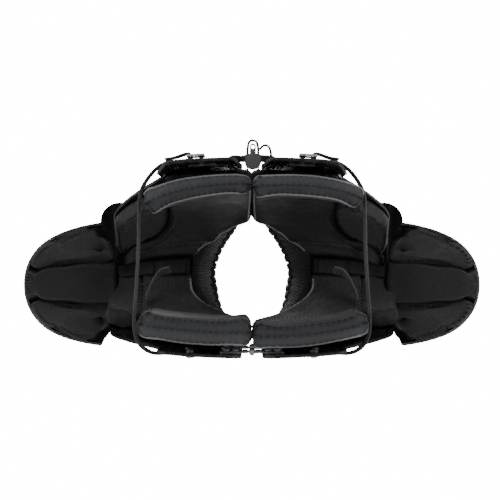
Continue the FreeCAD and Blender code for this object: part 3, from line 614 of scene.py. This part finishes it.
def plastic_look(name, colour, roughness, peel=0.00012, coat=0.0):
    """Moulded plastic: orange peel, faint flow marks, rubbed edges and fine scratches."""
    g = Graph(name)
    cloud = g.noise(9, 5)
    scratch = g.noise(26, 8, g.stretch(g.coords("Object"), (3.0, 1, 1.2)), 0.75)
    grain = g.noise(700, 2)
    rub = g.math("MULTIPLY", g.ramp(g.pointiness(), 0.53, 0.66), g.ramp(scratch, 0.42, 0.62))
    shade = g.mix(cloud, tuple(c * 0.75 for c in colour), tuple(c * 1.3 for c in colour))
    shade = g.mix(g.math("MULTIPLY", rub, 0.4), shade, tuple(c * 2.5 + 0.01 for c in colour))
    rough = g.math("ADD", g.ramp(scratch, 0.4, 0.7, roughness - 0.03, roughness + 0.09),
                   g.math("MULTIPLY", rub, 0.15))
    normal = g.bump(grain, peel, 0.12, g.bump(cloud, 0.0006, 0.12))
    return g.finish(shade, rough, normal, Coat_Weight=coat, Coat_Roughness=0.12)


def metal_look(name, colour, roughness, metallic=1.0):
    g = Graph(name)
    cloud = g.noise(60, 4)
    brush = g.noise(300, 4, g.stretch(g.coords("Object"), (1, 1, 14)), 0.6)
    shade = g.mix(cloud, tuple(c * 0.8 for c in colour), tuple(min(1, c * 1.15) for c in colour))
    shade = g.mix(g.math("MULTIPLY", g.ramp(g.pointiness(), 0.52, 0.62), 0.6), shade, (0.45, 0.45, 0.46))
    rough = g.ramp(brush, 0.3, 0.7, roughness - 0.08, roughness + 0.14)
    return g.finish(shade, rough, g.bump(brush, 0.00006, 0.5), Metallic=metallic)


LOOKS = {
    "shell": plastic_look("shell_look", (0.008, 0.008, 0.009), 0.22, coat=0.3),
    "bracket": plastic_look("bracket_look", (0.015, 0.015, 0.016), 0.42),
    "lock": plastic_look("lock_look", (0.009, 0.009, 0.010), 0.6, peel=0.0004),
    "cushion": cloth_look("cushion_look", (0.0125, 0.013, 0.0145), "twill", 1.5, 0.00015, 0.55, 1.3, 0.08, 0.9),
    "liner": cloth_look("liner_look", (0.0080, 0.0080, 0.0090), "mesh", 2.6, 0.0004, 0.75, 1.5, 0.10),
    "rib": cloth_look("rib_look", (0.0095, 0.0095, 0.0105), "rib", 3.4, 0.0006, 0.75, 1.6, 0.10),
    "collar": cloth_look("collar_look", (0.0040, 0.0040, 0.0046), "twill", 1.6, 0.0002, 0.7, 1.4, 0.10),
    "webbing": cloth_look("webbing_look", (0.016, 0.016, 0.017), "webbing", 2.0, 0.0004, 0.6, 1.4, 0.08),
    "cord": cloth_look("cord_look", (0.010, 0.010, 0.011), "twill", 1.2, 0.0003, 0.7, 1.4, 0.08),
    # The piping is a paler cloth than the cushions, made paler still as a painted highlight along their edges.
    "piping": cloth_look("piping_look", (0.105, 0.106, 0.112), "twill", 1.2, 0.0002, 0.38, 1.3, 0.08),
    "tape": cloth_look("tape_look", (0.034, 0.034, 0.037), "webbing", 1.6, 0.0003, 0.6, 1.3, 0.08),
    "dark_metal": metal_look("dark_metal_look", (0.03, 0.03, 0.032), 0.35, 0.7),
    "bright_metal": metal_look("bright_metal_look", (0.50, 0.50, 0.51), 0.3),
}
SLOT_LOOKS = {"shell_plastic": "shell", "bracket_plastic": "bracket", "lock_plastic": "lock",
              "dark_metal": "dark_metal", "bright_metal": "bright_metal"}

slots = {s["node"]: s["material_slot"] for s in frame["record"]["subparts"]}
for node, obj in frame["nodes"].items():
    if slots[node] in SLOT_LOOKS:
        obj.data.materials.clear()
        obj.data.materials.append(LOOKS[SLOT_LOOKS[slots[node]]])


# ---- cushions ------------------------------------------------------------------------------------------
DELTOID_FRONT = (along_of(-80), along_of(-21))
DELTOID_BACK = (along_of(30), along_of(97))
CHANNEL = (along_of(10), along_of(27))
FRONT_LINER = (0.93, CHANNEL[0] - 0.012)     # lower and upper ends, along the arch
BACK_LINER = (CHANNEL[1] + 0.012, 2.05)
LINER_NEAR, LINER_FAR = 5.5, 28.5            # depths below the arch between which the lining lies
NECK_X, MIDDLE_X = 81.0, 0.3                 # the lining's neck edge at the channel and in the middle
COLLAR_BONE, NAPE = 1.322, 1.858             # where that edge meets the middle, along the arch
DELTOID_X, LINER_OUTER_X = 108.0, 172.0      # inner edge of the deltoid cushion; outer edge behind it


def front_neck_x(along):
    share = max(0.0, (along - COLLAR_BONE) / (CHANNEL[0] - COLLAR_BONE))
    return MIDDLE_X + (NECK_X - MIDDLE_X) * share ** 0.7


def back_neck_x(along):
    share = max(0.0, 1 - (max(0.0, along - CHANNEL[1]) / (NAPE - CHANNEL[1])) ** 2.6)
    return MIDDLE_X + (NECK_X - MIDDLE_X) * share


def deltoid_inner_x(along):
    share = max(0.0, (along - DELTOID_FRONT[0]) / (DELTOID_FRONT[1] - DELTOID_FRONT[0]))
    return DELTOID_X + 50 * min(1.0, share) ** 4


def front_liner_outer_x(along):
    """Beside the deltoid cushion first, then out over the shoulder behind it."""
    beyond = smooth(along, DELTOID_FRONT[1] - 0.01, DELTOID_FRONT[1] + 0.03)
    return (deltoid_inner_x(along) - 0.6) * (1 - beyond) + LINER_OUTER_X * beyond


def arch_pad(xs, alongs, near, far):
    """Placement over the arch: xs(along) gives the inner and outer x; near(x, along) and far(x, along)
    the depths between which the pad lies."""
    def place(u, v, w):
        along = alongs[0] + (alongs[1] - alongs[0]) * v
        low, high = xs(along)
        x = low + (high - low) * u
        return arch_point(x, along, near(x, along) * (1 - w) + far(x, along) * w)
    return place


CUP_RIM_DEPTH = 9.0          # how far a cup's cushion reaches in from its shell at the free edges
CUP_SIDE = 80.0              # lean of the cup shell's side edges, in degrees from its crest


def cup_end(lean):
    """The cup's lower edge, with the cloth that wraps it."""
    return 70.0 - 18.5 * min(1.0, abs(lean) / CUP_SIDE) ** 2.4


def cup_start(lean):
    """The cushions' edge beside the arch, with rounded corners."""
    return 4.0 + 15.0 * min(1.0, abs(lean) / CUP_SIDE) ** 1.6 + 9.0 * smooth(abs(lean), 66.0, 86.0)


def cup_pad(low, high, far):
    """Cushion inside the cup; its outer end laps over the shell's edge, as does its free side."""
    def place(u, v, w):
        lean = low + (high - low) * v
        lap = max(smooth(u, 0.955, 0.985), smooth(abs(lean), CUP_SIDE + 0.3, CUP_SIDE + 1.5))
        near = 3.4 - 4.6 * lap
        dome = max(smooth(u, 0.45, 1.1), smooth(abs(lean), 48.0, 92.0))
        depth = near + (far - (far - CUP_RIM_DEPTH) * dome - near) * w
        return cup_point(cup_start(lean) + (cup_end(lean) - cup_start(lean)) * u, lean, depth)
    return place


def level(value):
    return lambda x, along: value


def rising(low, high, start, end):
    """Depth that grows from low to high between two places along the arch."""
    return lambda x, along: low + (high - low) * smooth(along, start, end)


def chest_taper(x, along):
    """The chest cushions are slimmer towards their top, so that their lower edge stands furthest in."""
    return 6.0 * smooth(along, 0.1, 0.9)


# The two chest cushions and the two back cushions are sewn alike but sit a little differently.  Each
# entry is for one side: 1 is the wearer's left.
CHEST_FAR = {1: lambda x, a: 44.5 - chest_taper(x, a),
             -1: lambda x, a: 40.0 + 0.10 * x - chest_taper(x, a)}
CHEST_NEAR = {1: level(17.0), -1: lambda x, a: 16.0 + 0.042 * x}
CHEST_OUTER_X = {1: 134.0, -1: 131.0}
BACK_FAR = {1: lambda x, a: 39.0 + 0.0003 * x * x, -1: lambda x, a: 44.5 + 0.01 * x}
BACK_NEAR = {1: lambda x, a: 9.0 + 0.0004 * x * x, -1: lambda x, a: 11.5 + 0.015 * x}
BACK_OUTER_X = {1: 134.0, -1: 130.0}
# Where the front lining folds over onto the shoulder, as a share of its length.
FOLD_V = (DELTOID_FRONT[1] - FRONT_LINER[0]) / (FRONT_LINER[1] - FRONT_LINER[0])


def make_pads(side, prefix):
    half, cup = prefix + "half", prefix + "cup"
    z_share = tuple(z / PLATE_TOP_Z for z in CHEST_PAD_Z)
    soft, lining = "cushion_fabric", "liner_mesh"
    # Name, body, slot, look, placement, sizes, edge radius, crown, cap, corner radius, broad plane.
    specs = [
        ("front_pad", half, soft, "cushion",
         arch_pad(lambda a: (1.0, CHEST_OUTER_X[side]), z_share, CHEST_NEAR[side], CHEST_FAR[side]),
         (134, 116, 27), 5.0, 0.6, 2.6, 12, (0, 2)),
        ("back_pad", half, soft, "cushion",
         arch_pad(lambda a: (0.2, BACK_OUTER_X[side]), (3 - z_share[1], 3 - z_share[0]),
                  BACK_NEAR[side], BACK_FAR[side]),
         (132, 116, 31), 5.0, 0.6, 2.6, 12, (0, 2)),
        ("front_liner", half, lining, "liner",
         arch_pad(lambda a: (front_neck_x(a), front_liner_outer_x(a)), FRONT_LINER,
                  level(LINER_NEAR), level(LINER_FAR)),
         (106, 170, 23), 7.5, 2.0, 3.0, 0, (0, 1)),
        ("back_liner", half, lining, "rib",
         arch_pad(lambda a: (back_neck_x(a), 141.0), BACK_LINER,
                  level(LINER_NEAR), rising(17.0, LINER_FAR, BACK_LINER[0], CHANNEL[1] + 0.20)),
         (90, 165, 23), 7.5, 2.0, 3.0, 0, (0, 1)),
        ("channel_pad", half, lining, "liner",
         arch_pad(lambda a: (77.5, 174.0), (CHANNEL[0] - 0.02, CHANNEL[1] + 0.02), level(5.5), level(14.5)),
         (96, 28, 9), 3.0, 0.8, 1.0, 0, (0, 1)),
        ("deltoid_pad", half, lining, "liner",
         arch_pad(lambda a: (deltoid_inner_x(a) + 0.4, arch_outer_x(a) + 3.0), (DELTOID_FRONT[0] - 0.012,
                  DELTOID_FRONT[1] + 0.01), level(3.8), level(26.0)),
         (56, 96, 21), 8.0, 1.5, 3.0, 22, (0, 1)),
        ("rear_deltoid_pad", half, lining, "liner",
         arch_pad(lambda a: (141.2, 182.0), (DELTOID_BACK[0] - 0.01, DELTOID_BACK[1] + 0.03),
                  level(4.2), rising(13.0, 26.0, DELTOID_BACK[0] - 0.01, DELTOID_BACK[0] + 0.28)),
         (41, 98, 21), 8.0, 1.5, 3.0, 14, (0, 1)),
        ("cup_front_pad", cup, lining, "liner", cup_pad(-82.5, -30.3, 24.0), (114, 68, 21), 7.5, 2.0, 3.0,
         16, (0, 1)),
        ("cup_centre_pad", cup, lining, "liner", cup_pad(-30.1, 30.1, 21.5), (128, 78, 18), 6.5, 0.5, 2.5,
         0, (0, 1)),
        ("cup_rear_pad", cup, lining, "liner", cup_pad(30.3, 82.5, 24.0), (114, 68, 21), 7.5, 2.0, 3.0,
         16, (0, 1)),
    ]
    return [Pad(prefix + name + "_soft", side, body, slot, LOOKS[look], *rest)
            for name, body, slot, look, *rest in specs]


pads = make_pads(1, "left_") + make_pads(-1, "right_")
swell_all(pads)


# The sides, at u = 0 and 1 and v = 0 and 1, where a cushion is sewn down against its neighbour.
SEAMS = {"front_liner": (0, 1, 0, 1), "back_liner": (0, 0, 1, 0), "channel_pad": (1, 0, 1, 1),
         "deltoid_pad": (1, 0, 0, 1), "rear_deltoid_pad": (0, 0, 0, 0), "cup_front_pad": (1, 0, 0, 1),
         "cup_centre_pad": (1, 0, 1, 1), "cup_rear_pad": (1, 0, 1, 0)}
# How far from a seam the painted shade reaches, and how far the seam's sunken valley reaches, in millimetres.
SEAM_SHADE_REACH, SEAM_DEEP = 7.0, 11.0


def from_seam(pad, kind, u, v):
    """Distance from the nearest seam to a neighbour."""
    lx, ly, _ = pad.lengths
    reach = [far for far, sewn in zip((u, lx - u, v, ly - v), SEAMS[kind]) if sewn]
    return min(reach, default=lx)


def dimple(pad, kind, u, v):
    """1 in the pinched hollow near the arch's end of a cup's outer lobes, 0 well away from it."""
    if kind not in ("cup_front_pad", "cup_rear_pad"):
        return 0.0
    return math.exp(-((u - 22) / 10) ** 2 - ((v - 0.52 * pad.lengths[1]) / 5) ** 2)


def paint_seam_shade(pad, kind):
    """Leaves an attribute that paints shade into the cloth in the seams and in the cups' dimples."""
    attribute = pad.obj.data.attributes.new("pad_seam", "FLOAT", "POINT")
    attribute.data.foreach_set("value", [max(1 - smooth(from_seam(pad, kind, u, v), 1.0, SEAM_SHADE_REACH),
                                             dimple(pad, kind, u, v)) for u, v, _ in pad.params()])


def crumple(co, seed, scale, fold=(1, 1, 1)):
    """Crumple of loose cloth: ridged noise, stretched along one direction."""
    stretched = Vector((co.x * fold[0], co.y * fold[1], co.z * fold[2])) * scale
    return abs(noise.noise(stretched + Vector((seed, 0, 0))))


def pucker(distance, along, seed, reach=7.0, period=7.5):
    """Small gathers that a seam pulls into the cloth beside it."""
    phase = along * 2 * math.pi / period + 2.5 * noise.noise(Vector((along * 0.05, seed, 0)))
    return bump(distance, 0, reach) * (0.5 + 0.5 * math.sin(phase))


def boxed(pad, seed):
    """Chest and back cushions: a seam round the middle of the boxing, gathers beside the piping and
    crumples at the rounded ends."""
    lx, ly, lz = pad.lengths

    def depth_at(u, v, w, co):
        beside = min(u, lx - u, v, ly - v)
        wall = 1 - smooth(beside, 0.5, 6.0)
        run = u if min(v, ly - v) < min(u, lx - u) else v
        seam = 0.46 * lz
        groove = 1.5 * bump(w, seam, 1.5) * wall
        gathers = 0.55 * wall * (pucker(w, run, seed) + pucker(lz - w, run, seed + 4)
                                 + 0.8 * pucker(w - seam, run, seed + 8, 4.0))
        ends = 1 - smooth(min(u, lx - u), 2.0, 26.0)
        folds = ends * 2.6 * (crumple(co, seed, 0.11, (0.7, 1.0, 0.3)) - 0.15)
        return groove + gathers + folds + 0.9 * crumple(co, seed + 5, 0.03)
    return depth_at


def lobe(pad, seed, kind):
    """Liners and cup cushions: soft swells, with gathers where they are sewn down round the edge."""
    lx, ly, lz = pad.lengths

    def depth_at(u, v, w, co):
        beside = min(u, lx - u, v, ly - v)
        run = u if min(v, ly - v) < min(u, lx - u) else v
        patchy = smooth(noise.noise(co * 0.02 + Vector((seed, 9, 0))), -0.3, 0.5)
        depth = 0.9 * patchy * pucker(beside, run, seed, 8.0, 8.5)
        depth += 2.2 * crumple(co, seed, 0.03) + 0.6 * crumple(co, seed + 3, 0.10)
        facing = smooth(w, 0.4 * lz, lz)
        if kind != "channel_pad":
            depth += 2.6 * facing * (1 - smooth(from_seam(pad, kind, u, v), 0.0, SEAM_DEEP))
        if kind == "front_liner":
            depth += 4.0 * bump(v, FOLD_V * ly, 5.0) * facing
            near_middle = smooth(60 - v, 0, 40) * smooth(45 - u, 0, 35)
            depth += 1.6 * near_middle * (0.5 + 0.5 * math.sin(v * 0.75 + 2 * noise.noise(co * 0.03)))
        if kind == "channel_pad":
            depth += 2.6 * facing * (bump(u, 9.0, 1.8) + bump(u, 50.0, 1.8))
        depth += 7.5 * facing * dimple(pad, kind, u, v)
        return depth
    return depth_at


SEED_STEP = 7.3
PIPING_R, NECK_PIPING_R, PIPING_LIFT = 1.2, 1.4, 0.3
for number, pad in enumerate(pads):
    refine(pad.obj)
    node = pad.name.removesuffix("_soft")
    kind = node.split("_", 1)[1]
    if kind in ("front_pad", "back_pad"):
        pad.carve(boxed(pad, number * SEED_STEP))
    else:
        pad.carve(lobe(pad, number * SEED_STEP, kind))
        paint_seam_shade(pad, kind)
    replaced = [node] if kind != "front_liner" else [node, node.replace("front_liner", "shoulder_liner")]
    dress(pad.obj, pad.body, pad.slot, pad.look, *replaced)
    if kind in ("front_pad", "back_pad"):
        ease = 0.3 * pad.radius
        for label, w in (("inner", pad.lengths[2] - ease), ("outer", ease)):
            # The pale piping cloth, with its painted highlight, goes where the edges catch the light: both
            # edges of the chest cushions and the outer edge of the back cushions. The back cushions' inner
            # piping is dark.
            bright = kind == "front_pad" or label == "outer"
            sewn_on(node + "_" + label + "_piping", pad, pad.rim(w, ease, 11), PIPING_R, PIPING_LIFT, True,
                    LOOKS["piping" if bright else "webbing"])
    if kind in ("front_liner", "back_liner"):
        ease = 0.3 * pad.radius
        run = [(ease, v, pad.lengths[2] - ease) for v in spread(8, pad.lengths[1] - 8, 70)]
        sewn_on(node + "_neck_piping", pad, run, NECK_PIPING_R, PIPING_LIFT, False, LOOKS["piping"])


# ---- collar --------------------------------------------------------------------------------------------
GATHER_SPACING = 10.5
COLLAR_RIM_R = 5.2
COLLAR_FRONT_TURN, COLLAR_BACK_TURN = 24.0, 146.0


def collar_inset(turn, rise):
    """How far the band leans into the opening: 0 at its foot, most at its rim, less towards the nape."""
    tall = math.sin(math.radians(180 * (turn - 14) / 142))
    return 3.5 + 19 * rise * (0.6 + 0.4 * tall) * (1 - 0.55 * smooth(turn, 112, COLLAR_BACK_TURN))


def gather(run, seed, sharpness=9):
    """1 in the creases that the rim's elastic pulls into the band, 0 between them."""
    wander = 2.4 * noise.noise(Vector((run * 0.05, seed, 5)))
    return abs(math.cos(math.pi * (run + wander) / GATHER_SPACING)) ** sharpness


def collar(prefix, side, seed):
    """Gathered neck band with a puffed rim; its foot tucks under the arch."""
    around, up, skirt, sides = 280, 17, 3, 16
    outer, inner, uvs, runs = [], [], [], []
    run, last = 0.0, None
    for i in range(around):
        turn = COLLAR_FRONT_TURN + (COLLAR_BACK_TURN - COLLAR_FRONT_TURN) * i / (around - 1)
        tall = math.sin(math.radians(180 * (turn - 14) / 142))
        seat = bridge_height(*neck_edge(turn)) + 1.5
        spot = Vector(neck_edge(turn, collar_inset(turn, 1)))
        run += (spot - last).length if last else 0.0
        last = spot
        runs.append(run)
        crease = gather(run, seed, 5)
        for j in range(up):
            rise = max(0.0, (j - skirt) / (up - 1 - skirt))
            hang = max(0.0, (skirt - j) / skirt)
            pleat = 1.5 * crease * smooth(rise, 0.25, 1.0) + 0.35 * math.sin(run * 1.9) * (1 - rise)
            belly = 2.2 * math.sin(math.pi * rise)
            inset = collar_inset(turn, rise) - belly
            z = seat + rise * (14 + 12 * tall)
            outer.append((*neck_edge(turn, inset + pleat - 13.0 * hang), z - 6.2 * hang ** 0.4))
            inner.append((*neck_edge(turn, inset + 4.5 + 2 * belly - 1.6 * pleat - 17.0 * hang),
                          z - 1.5 - 5.6 * hang ** 0.6))
            uvs.append((run, rise * 28))
    count = around * up
    faces = []
    for i in range(around - 1):
        for j in range(up - 1):
            a, b, c, d = i * up + j, (i + 1) * up + j, (i + 1) * up + j + 1, i * up + j + 1
            faces += [(a, b, c, d), (d + count, c + count, b + count, a + count)]
        for j in (0, up - 1):
            a, b = i * up + j, (i + 1) * up + j
            quad = (a, a + count, b + count, b)
            faces.append(quad if j == 0 else tuple(reversed(quad)))
    for i in (0, around - 1):
        for j in range(up - 1):
            a, d = i * up + j, i * up + j + 1
            quad = (a, d, d + count, a + count)
            faces.append(quad if i == 0 else tuple(reversed(quad)))
    band = new_object(prefix + "collar_band", outer + inner, faces, uvs + uvs, side)
    dress(band, prefix + "half", "collar_fabric", LOOKS["collar"], prefix + "collar")

    rim = [(Vector(outer[i * up + up - 1]) + Vector(inner[i * up + up - 1])) / 2 for i in range(around)]
    verts, faces, uvs = tube_data(rim, 1.0, sides=sides)
    for number, vert in enumerate(verts):
        ring = number // sides
        puff = 0.4 * noise.noise(Vector((ring * 0.09, number % sides, seed)))
        fullness = COLLAR_RIM_R * (1 - 0.45 * gather(runs[ring], seed)) + puff
        fullness *= 0.35 + 0.65 * smooth(min(ring, around - 1 - ring), -4, 26)
        verts[number] = rim[ring] + (vert - rim[ring]) * fullness
    roll = new_object(prefix + "collar_rim", verts, faces, uvs, side)
    dress(roll, prefix + "half", "collar_fabric", LOOKS["collar"])


collar("left_", 1, 3)
collar("right_", -1, 11)

# ---- belts and webbing ---------------------------------------------------------------------------------
BELT_PATH = ([(98.0, -107.8), (91.0, -108.8), (84.0, -110.6), (77.0, -113.2),
              (71.6, -114.2), (68.4, -112.8), (67.6, -110.2), (69.4, -107.9), (73.0, -107.0)]
             + [(x, chest_y(x) - 1.8) for x in (80.0, 90.0, 98.0)]
             + [(106.5, -98.5), (113.5, -91.5), (121.0, -81.0), (126.4, -68.0), (127.6, -45.0), (128.2, -10.0),
                (130.2, 30.0), (132.4, 60.0), (133.0, 78.0), (131.6, 90.0), (127.0, 100.5), (118.0, 108.2),
                (107.5, 111.3)]
             + [(x, back_y(x) + 1.3) for x in (96.0, 80.0, 62.0)])
BELT_Z, BELT_WIDTH, BELT_THICKNESS = 38.0, 32.0, 1.7
STRAP_Z, STRAP_WIDTH, STRAP_THICKNESS = 187.0, 16.0, 2.2
STRAP_PATH = [(131.0, 55.0), (127.5, 43.0), (121.0, 30.0), (112.0, 22.0), (101.0, 19.0)]

for prefix, side in (("left_", 1), ("right_", -1)):
    path = smooth_path([(x, y, BELT_Z) for x, y in BELT_PATH], 1.6)
    belt = ribbon(prefix + "belt_webbing", path, (0, 0, 1), BELT_WIDTH, BELT_THICKNESS, side)
    dress(belt, prefix + "half", "webbing", LOOKS["webbing"], prefix + "belt")
    path = smooth_path([(x, y, STRAP_Z) for x, y in STRAP_PATH], 1.6)
    flat = [Vector((0, 0, 1)).lerp(Vector((0.2, 0.6, 0.8)), smooth(i, 0.35 * len(path), 0.8 * len(path)))
            for i in range(len(path))]
    strap = ribbon(prefix + "channel_webbing", path, flat, STRAP_WIDTH, STRAP_THICKNESS, side)
    dress(strap, prefix + "half", "webbing", LOOKS["tape"], prefix + "channel_strap")

# ---- lace and cord lock cords --------------------------------------------------------------------------
LACE_R, LACE_X = 1.5, 25.0
LACE_LEVELS = (34.0, 62.0, 90.0, 118.0)
front = chest_y(LACE_X)


def lace_strand(name, left_z, right_z, over, nodes):
    half = [(LACE_X, front + 6.0, 0), (LACE_X, front - 0.5, 0), (LACE_X - 2.2, front - 2.8, 0),
            (LACE_X - 9, front - 3.4, 0)]
    points = [(x, y, left_z + (right_z - left_z) * (LACE_X - x) / (2 * LACE_X)) for x, y, _ in half]
    points.append((0, front - 3.4 - over, (left_z + right_z) / 2))
    points += [(-x, y, right_z + (left_z - right_z) * (LACE_X - x) / (2 * LACE_X))
               for x, y, _ in reversed(half)]
    cord = tube(name, smooth_path(points, 1.0), LACE_R, braid=0.12)
    dress(cord, None, "cord", LOOKS["cord"], *nodes)
    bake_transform(cord)


for number in range(3):
    low, high = LACE_LEVELS[number], LACE_LEVELS[number + 1]
    lace_strand("lace_rising_%d" % number, low, high, 1.7, ("left_lace",))
    lace_strand("lace_falling_%d" % number, high, low, -1.5, ("right_lace",))
lace_strand("lace_top_bar", LACE_LEVELS[3] + 2.5, LACE_LEVELS[3] + 2.5, 0.4, ())

LOCK_X, LOCK_Z, LOCK_REAR_Y, LOCK_THROAT_Y, LOCK_TIP_Y, CORD_OFFSET = 1.0, 14.0, -95.0, -112.5, -124.0, 5.9


def lock_at(x, y, z=0.0):
    return Vector((LOCK_X + x, y, LOCK_Z + z))


tip = LOCK_TIP_Y - LACE_R - 2.0
loop = [lock_at(-CORD_OFFSET, LOCK_REAR_Y - 1.5), lock_at(-CORD_OFFSET, LOCK_THROAT_Y - 2),
        lock_at(-CORD_OFFSET, LOCK_TIP_Y + 6), lock_at(-CORD_OFFSET * 0.72, tip + 2.2), lock_at(0, tip),
        lock_at(CORD_OFFSET * 0.72, tip + 2.2), lock_at(CORD_OFFSET, LOCK_TIP_Y + 6),
        lock_at(CORD_OFFSET, LOCK_THROAT_Y - 2), lock_at(CORD_OFFSET, LOCK_REAR_Y - 1.5)]
cord = tube("cord_lock_loop_cord", smooth_path(loop, 1.0), LACE_R, braid=0.1)
dress(cord, "cord_lock", "cord", LOOKS["cord"], "cord_lock_loops")
side_loop = [lock_at(7.6, -117.2), lock_at(9.8, -120.0), lock_at(13.0, -122.0), lock_at(16.6, -121.2),
             lock_at(19.2, -117.0), lock_at(20.2, -111.6), lock_at(20.3, -109.4)]
cord = tube("cord_lock_side_loop", smooth_path(side_loop, 1.0), LACE_R, braid=0.1)
dress(cord, "cord_lock", "cord", LOOKS["cord"])

# The plunger's spring, as a coil between its pocket's floor and the plunger.
SPRING_WIRE_R, SPRING_COIL_R, SPRING_TURNS, SPRING_LENGTH = 0.35, 1.7, 5, 7.1
spring_rear = LOCK_REAR_Y - 4.6 - SPRING_WIRE_R
coil = []
steps = SPRING_TURNS * 24
for step in range(steps + 1):
    turn = step * math.pi / 12
    coil.append(lock_at(SPRING_COIL_R * math.cos(turn), spring_rear - SPRING_LENGTH * step / steps,
                        SPRING_COIL_R * math.sin(turn)))
spring = tube("cord_lock_spring_coil", coil, SPRING_WIRE_R)
dress(spring, None, "bright_metal", LOOKS["bright_metal"], "cord_lock_spring")
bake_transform(spring)

tails = {
    "lace_tail_right": [lock_at(-CORD_OFFSET, LOCK_REAR_Y - 1.0),
                        lock_at(-CORD_OFFSET - 0.6, LOCK_REAR_Y + 1.2),
                        lock_at(-CORD_OFFSET - 3.0, LOCK_REAR_Y + 2.2, 1.0), Vector((-13.0, -93.4, 19.0)),
                        Vector((-18.0, -96.0, 25.0)), Vector((-23.0, -100.0, 31.0)),
                        Vector((-25.0, -102.0, 34.0))],
    "lace_tail_left": [lock_at(CORD_OFFSET, LOCK_REAR_Y - 1.0), lock_at(CORD_OFFSET + 0.4, LOCK_REAR_Y + 1.2),
                       lock_at(CORD_OFFSET + 2.4, LOCK_REAR_Y + 2.0, 1.5), Vector((10.5, -93.0, 20.0))],
}
for name, points in tails.items():
    cord = tube(name, smooth_path(points, 1.0), LACE_R, braid=0.1)
    dress(cord, None, "cord", LOOKS["cord"], *(("lace_tails",) if name.endswith("right") else ()))
    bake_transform(cord)
points = [Vector((10.5, -93.0, 20.0)), Vector((13.0, -93.8, 23.5)), Vector((18.0, -97.0, 28.0)),
          Vector((23.0, -100.5, 32.0)), Vector((25.0, -102.0, 34.0))]
cord = tube("lace_tail_left_end", smooth_path(points, 1.0), LACE_R, braid=0.1)
dress(cord, None, "cord", LOOKS["cord"])
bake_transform(cord)


# ---- stage ---------------------------------------------------------------------------------------------
def floor():
    """Pale floor for views from above; from below it lets the camera through."""
    mesh = bpy.data.meshes.new("floor")
    size = 6.0
    corners = [(-size, -size, 0), (size, -size, 0), (size, size, 0), (-size, size, 0)]
    mesh.from_pydata(corners, [], [(0, 1, 2, 3)])
    obj = bpy.data.objects.new("floor", mesh)
    bpy.context.scene.collection.objects.link(obj)
    obj.location.z = -0.0008
    obj.visible_shadow = False
    g = Graph("floor_look")
    tone = g.mix(g.noise(3, 3), (0.80, 0.80, 0.80), (0.84, 0.84, 0.84))
    g.finish(tone, 0.6, g.bump(g.noise(200), 0.0001, 0.2))
    clear = g.tree.nodes.new("ShaderNodeBsdfTransparent")
    mixer = g.tree.nodes.new("ShaderNodeMixShader")
    back = g.tree.nodes.new("ShaderNodeNewGeometry").outputs["Backfacing"]
    g.link(back, mixer.inputs[0])
    g.link(g.shader.outputs[0], mixer.inputs[1])
    g.link(clear.outputs[0], mixer.inputs[2])
    g.link(mixer.outputs[0], g.tree.nodes["Material Output"].inputs[0])
    mesh.materials.append(g.material)


def area_light(name, at, target, size, power):
    light = bpy.data.lights.new(name, "AREA")
    light.shape = "RECTANGLE"
    light.size, light.size_y = size
    light.energy = power
    obj = bpy.data.objects.new(name, light)
    obj.location = at
    obj.rotation_euler = (Vector(target) - Vector(at)).to_track_quat("-Z", "Y").to_euler()
    bpy.context.scene.collection.objects.link(obj)


floor()
middle = (0, 0, 0.14)
area_light("below_front", (0.0, -1.1, -0.9), middle, (1.6, 0.8), 26)
area_light("below_back", (0.0, 1.2, -0.8), middle, (1.6, 0.8), 20)
area_light("below_left", (1.3, 0.2, -0.7), middle, (0.8, 1.2), 14)
area_light("below_right", (-1.3, 0.0, -0.7), middle, (0.8, 1.2), 14)
area_light("above_key", (-0.8, -1.4, 1.6), middle, (1.2, 1.2), 40)
area_light("above_fill", (1.4, -0.6, 1.2), middle, (1.2, 1.2), 18)
area_light("above_back", (0.4, 1.6, 1.4), middle, (1.4, 0.8), 26)

# The backdrop is bright to the camera only; it lights the pads far less.
BACKDROP_LIGHT, BACKDROP_SEEN = 0.22, 16.0
world = bpy.data.worlds.new("studio")
bpy.context.scene.world = world
world.use_nodes = True
tree = world.node_tree
background = tree.nodes["Background"]
background.inputs["Color"].default_value = (1, 1, 1, 1)
path_node = tree.nodes.new("ShaderNodeLightPath")
strength = tree.nodes.new("ShaderNodeMapRange")
strength.inputs["To Min"].default_value = BACKDROP_LIGHT
strength.inputs["To Max"].default_value = BACKDROP_SEEN
tree.links.new(path_node.outputs["Is Camera Ray"], strength.inputs["Value"])
tree.links.new(strength.outputs[0], background.inputs["Strength"])

camera_data = bpy.data.cameras.new("camera")
camera = bpy.data.objects.new("camera", camera_data)
bpy.context.scene.collection.objects.link(camera)
CAMERA_BELOW = 1.5           # metres from the camera to the plates' lower edges
camera.location = (-0.0022, 0.0020, -CAMERA_BELOW)
camera.rotation_euler = (math.pi, 0, 0)
camera_data.lens = 98.0
camera_data.sensor_width = 36.0
camera_data.clip_start, camera_data.clip_end = 0.05, 20
bpy.context.scene.camera = camera
